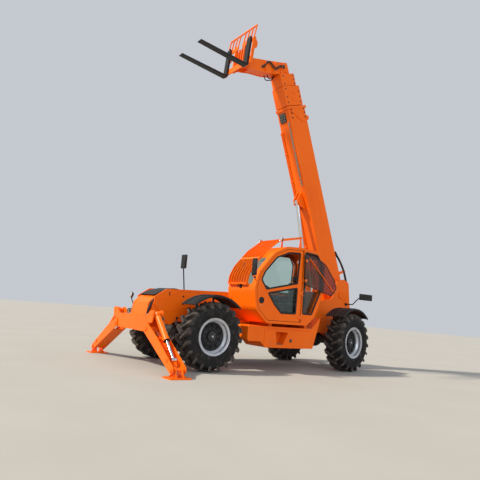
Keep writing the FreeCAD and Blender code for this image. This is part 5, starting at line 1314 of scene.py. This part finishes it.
def skirt_fittings():
    """Panel latch, flange bolts and the step's tread on the left skirt."""
    latch = Vector((-83, SKIRT_FACE, 599))
    pieces = [turned(latch, OUT, [
        (34, -1), (34, 4), (29, 7), (24, 3), (4, 3)], 32, PLASTIC)]
    handle = plate(ZINC, (-22, 2, -6), (22, 12, 6), 3)
    pieces.append(moved(handle, Matrix.Translation(latch) @ Matrix.Rotation(math.radians(-55), 4, "Y")))
    for x in (-600, -300, 0, 340, 520, 700, 940):
        pieces.append(bolt((x, SKIRT_FACE, 843), OUT, 8, 6, ORANGE))
    pieces.append(plate(BLACK, (120, 905, 522.5), (278, 1094, 528.5), 1))
    for number in range(7):
        low = 920 + number * 25
        pieces.append(plate(ZINC, (126, low, 527.5), (272, low + 10, 534.5), 1.5))
    settle(pieces, "skirt_fittings", "chassis", "black_plastic")


def hood_fittings():
    """Rubber latches, hinges and lift handle of the engine hood, and the exhaust's tail pipe."""
    face, plate_face, grip_face = HOOD_FACE, HOOD_FACE - 11, HOOD_FACE - 52
    pieces = []
    for x in (-860, 800):
        pieces.append(plate(PLASTIC, (x - 22, plate_face, 960), (x + 22, face + 1, 1120), 5))
        pieces.append(plate(PLASTIC, (x - 12, face - 24, 1050), (x + 12, face - 10, 1140), 5))
        pieces.append(bolt((x, plate_face, 985), -OUT, 7, 5, ZINC))
    first, last, grip_z = -155, 15, 1020
    pieces.append(pipe([(first, face + 2, grip_z), (first, face - 45, grip_z), (-140, grip_face, grip_z),
                        (0, grip_face, grip_z), (last, face - 45, grip_z), (last, face + 2, grip_z)],
                       10, BLACK))
    for x in (first, last):
        pieces.append(turned((x, face, grip_z), -OUT, [(22, -1), (22, 4), (16, 6)], 20, BLACK))
    for x in (-600, 500):
        pieces.append(turned((x - 50, -412, 1446), AHEAD, [
            (6, 0), (10, 2), (10, 98), (6, 100)], 16, BLACK))
    pieces.append(turned((-620, -720, 1430), UP, [
        (75, 0), (75, 20), (45, 30), (42, 160), (44, 165), (44, 190),
        (38, 190), (36, 30)], 36, CASTING, hollow=True))
    settle(pieces, "hood_fittings", "chassis", "black_plastic")


def axle_fittings():
    """Drive covers with their bolts on the axle cases, and keepers over the kingpins."""
    pieces = []
    for x in AXLES.values():
        way = 1 if x > 0 else -1
        pieces.append(pin_cap((x + 209.8 * way, 0, TYRE_RADIUS), AHEAD * way, 98, 14, 8))
        for side in SIDES.values():
            for up in (1, -1):
                pieces.append(pin_cap((x, KINGPIN_OUT * side, TYRE_RADIUS + 170.2 * up), UP * up,
                                      46, 10, 4))
    settle(pieces, "axle_covers", "chassis", "dark_casting")


chassis_fittings()
skirt_fittings()
hood_fittings()
axle_fittings()


# Stage: floor, lights and camera

def link_new(name, data):
    """A light or a camera put into the scene."""
    thing = bpy.data.objects.new(name, data)
    bpy.context.collection.objects.link(thing)
    return thing


def stage():
    """Studio floor, a pale even sky, a hard key sun and a soft fill sun."""
    floor_size, sky, sky_strength = 120, "E4E9F0", 0.72
    bpy.ops.object.select_all(action="DESELECT")
    bpy.ops.mesh.primitive_plane_add(size=floor_size)
    floor = bpy.context.object
    floor.name = "studio_floor"
    floor.data.materials.append(FLOOR)
    bpy.context.scene.view_settings.view_transform = "Standard"
    world = bpy.data.worlds.new("studio_world")
    bpy.context.scene.world = world
    world.use_nodes = True
    back = world.node_tree.nodes["Background"]
    back.inputs["Color"].default_value = colour(sky)
    back.inputs["Strength"].default_value = sky_strength
    # Columns: name, place, aimed at, width in degrees, strength, colour.
    lights = [
        ("key_light", (12, -3.5, 13), (0, 0, 0), 4, 4.5, "FFF4E2"),
        ("fill_light", (5, 13, 7), (0, 0, 2.5), 40, 0.9, "F2F6FF"),
    ]
    for name, place, aim, width, power, tone in lights:
        data = bpy.data.lights.new(name, "SUN")
        data.angle = math.radians(width)
        data.energy = power
        data.color = colour(tone)[:3]
        light = link_new(name, data)
        light.location = place
        light.rotation_euler = (Vector(aim) - Vector(place)).to_track_quat("-Z", "Y").to_euler()


def photograph_camera():
    """Camera at the photograph's place: low, ahead of the left front wheel, tipped a little to one side."""
    place = Vector((6.858, 8.920, 1.138))
    yaw, pitch, roll = math.radians(-124.84), math.radians(10.886), math.radians(4.702)
    focal_mm, sensor_mm = 37.53, 36.0
    shift_pixels, picture_pixels = -27, 480
    ahead = Vector((math.cos(yaw) * math.cos(pitch), math.sin(yaw) * math.cos(pitch), math.sin(pitch)))
    level_right = Vector((math.sin(yaw), -math.cos(yaw), 0))
    level_up = level_right.cross(ahead)
    right = level_right * math.cos(roll) + level_up * math.sin(roll)
    up = level_up * math.cos(roll) - level_right * math.sin(roll)
    data = bpy.data.cameras.new("photograph_camera")
    data.lens = focal_mm
    data.sensor_width = sensor_mm
    data.shift_y = shift_pixels / picture_pixels
    camera = link_new("photograph_camera", data)
    turn = Matrix((right, up, -ahead)).transposed()
    camera.matrix_world = Matrix.Translation(place) @ turn.to_4x4()
    bpy.context.scene.camera = camera


stage()
photograph_camera()
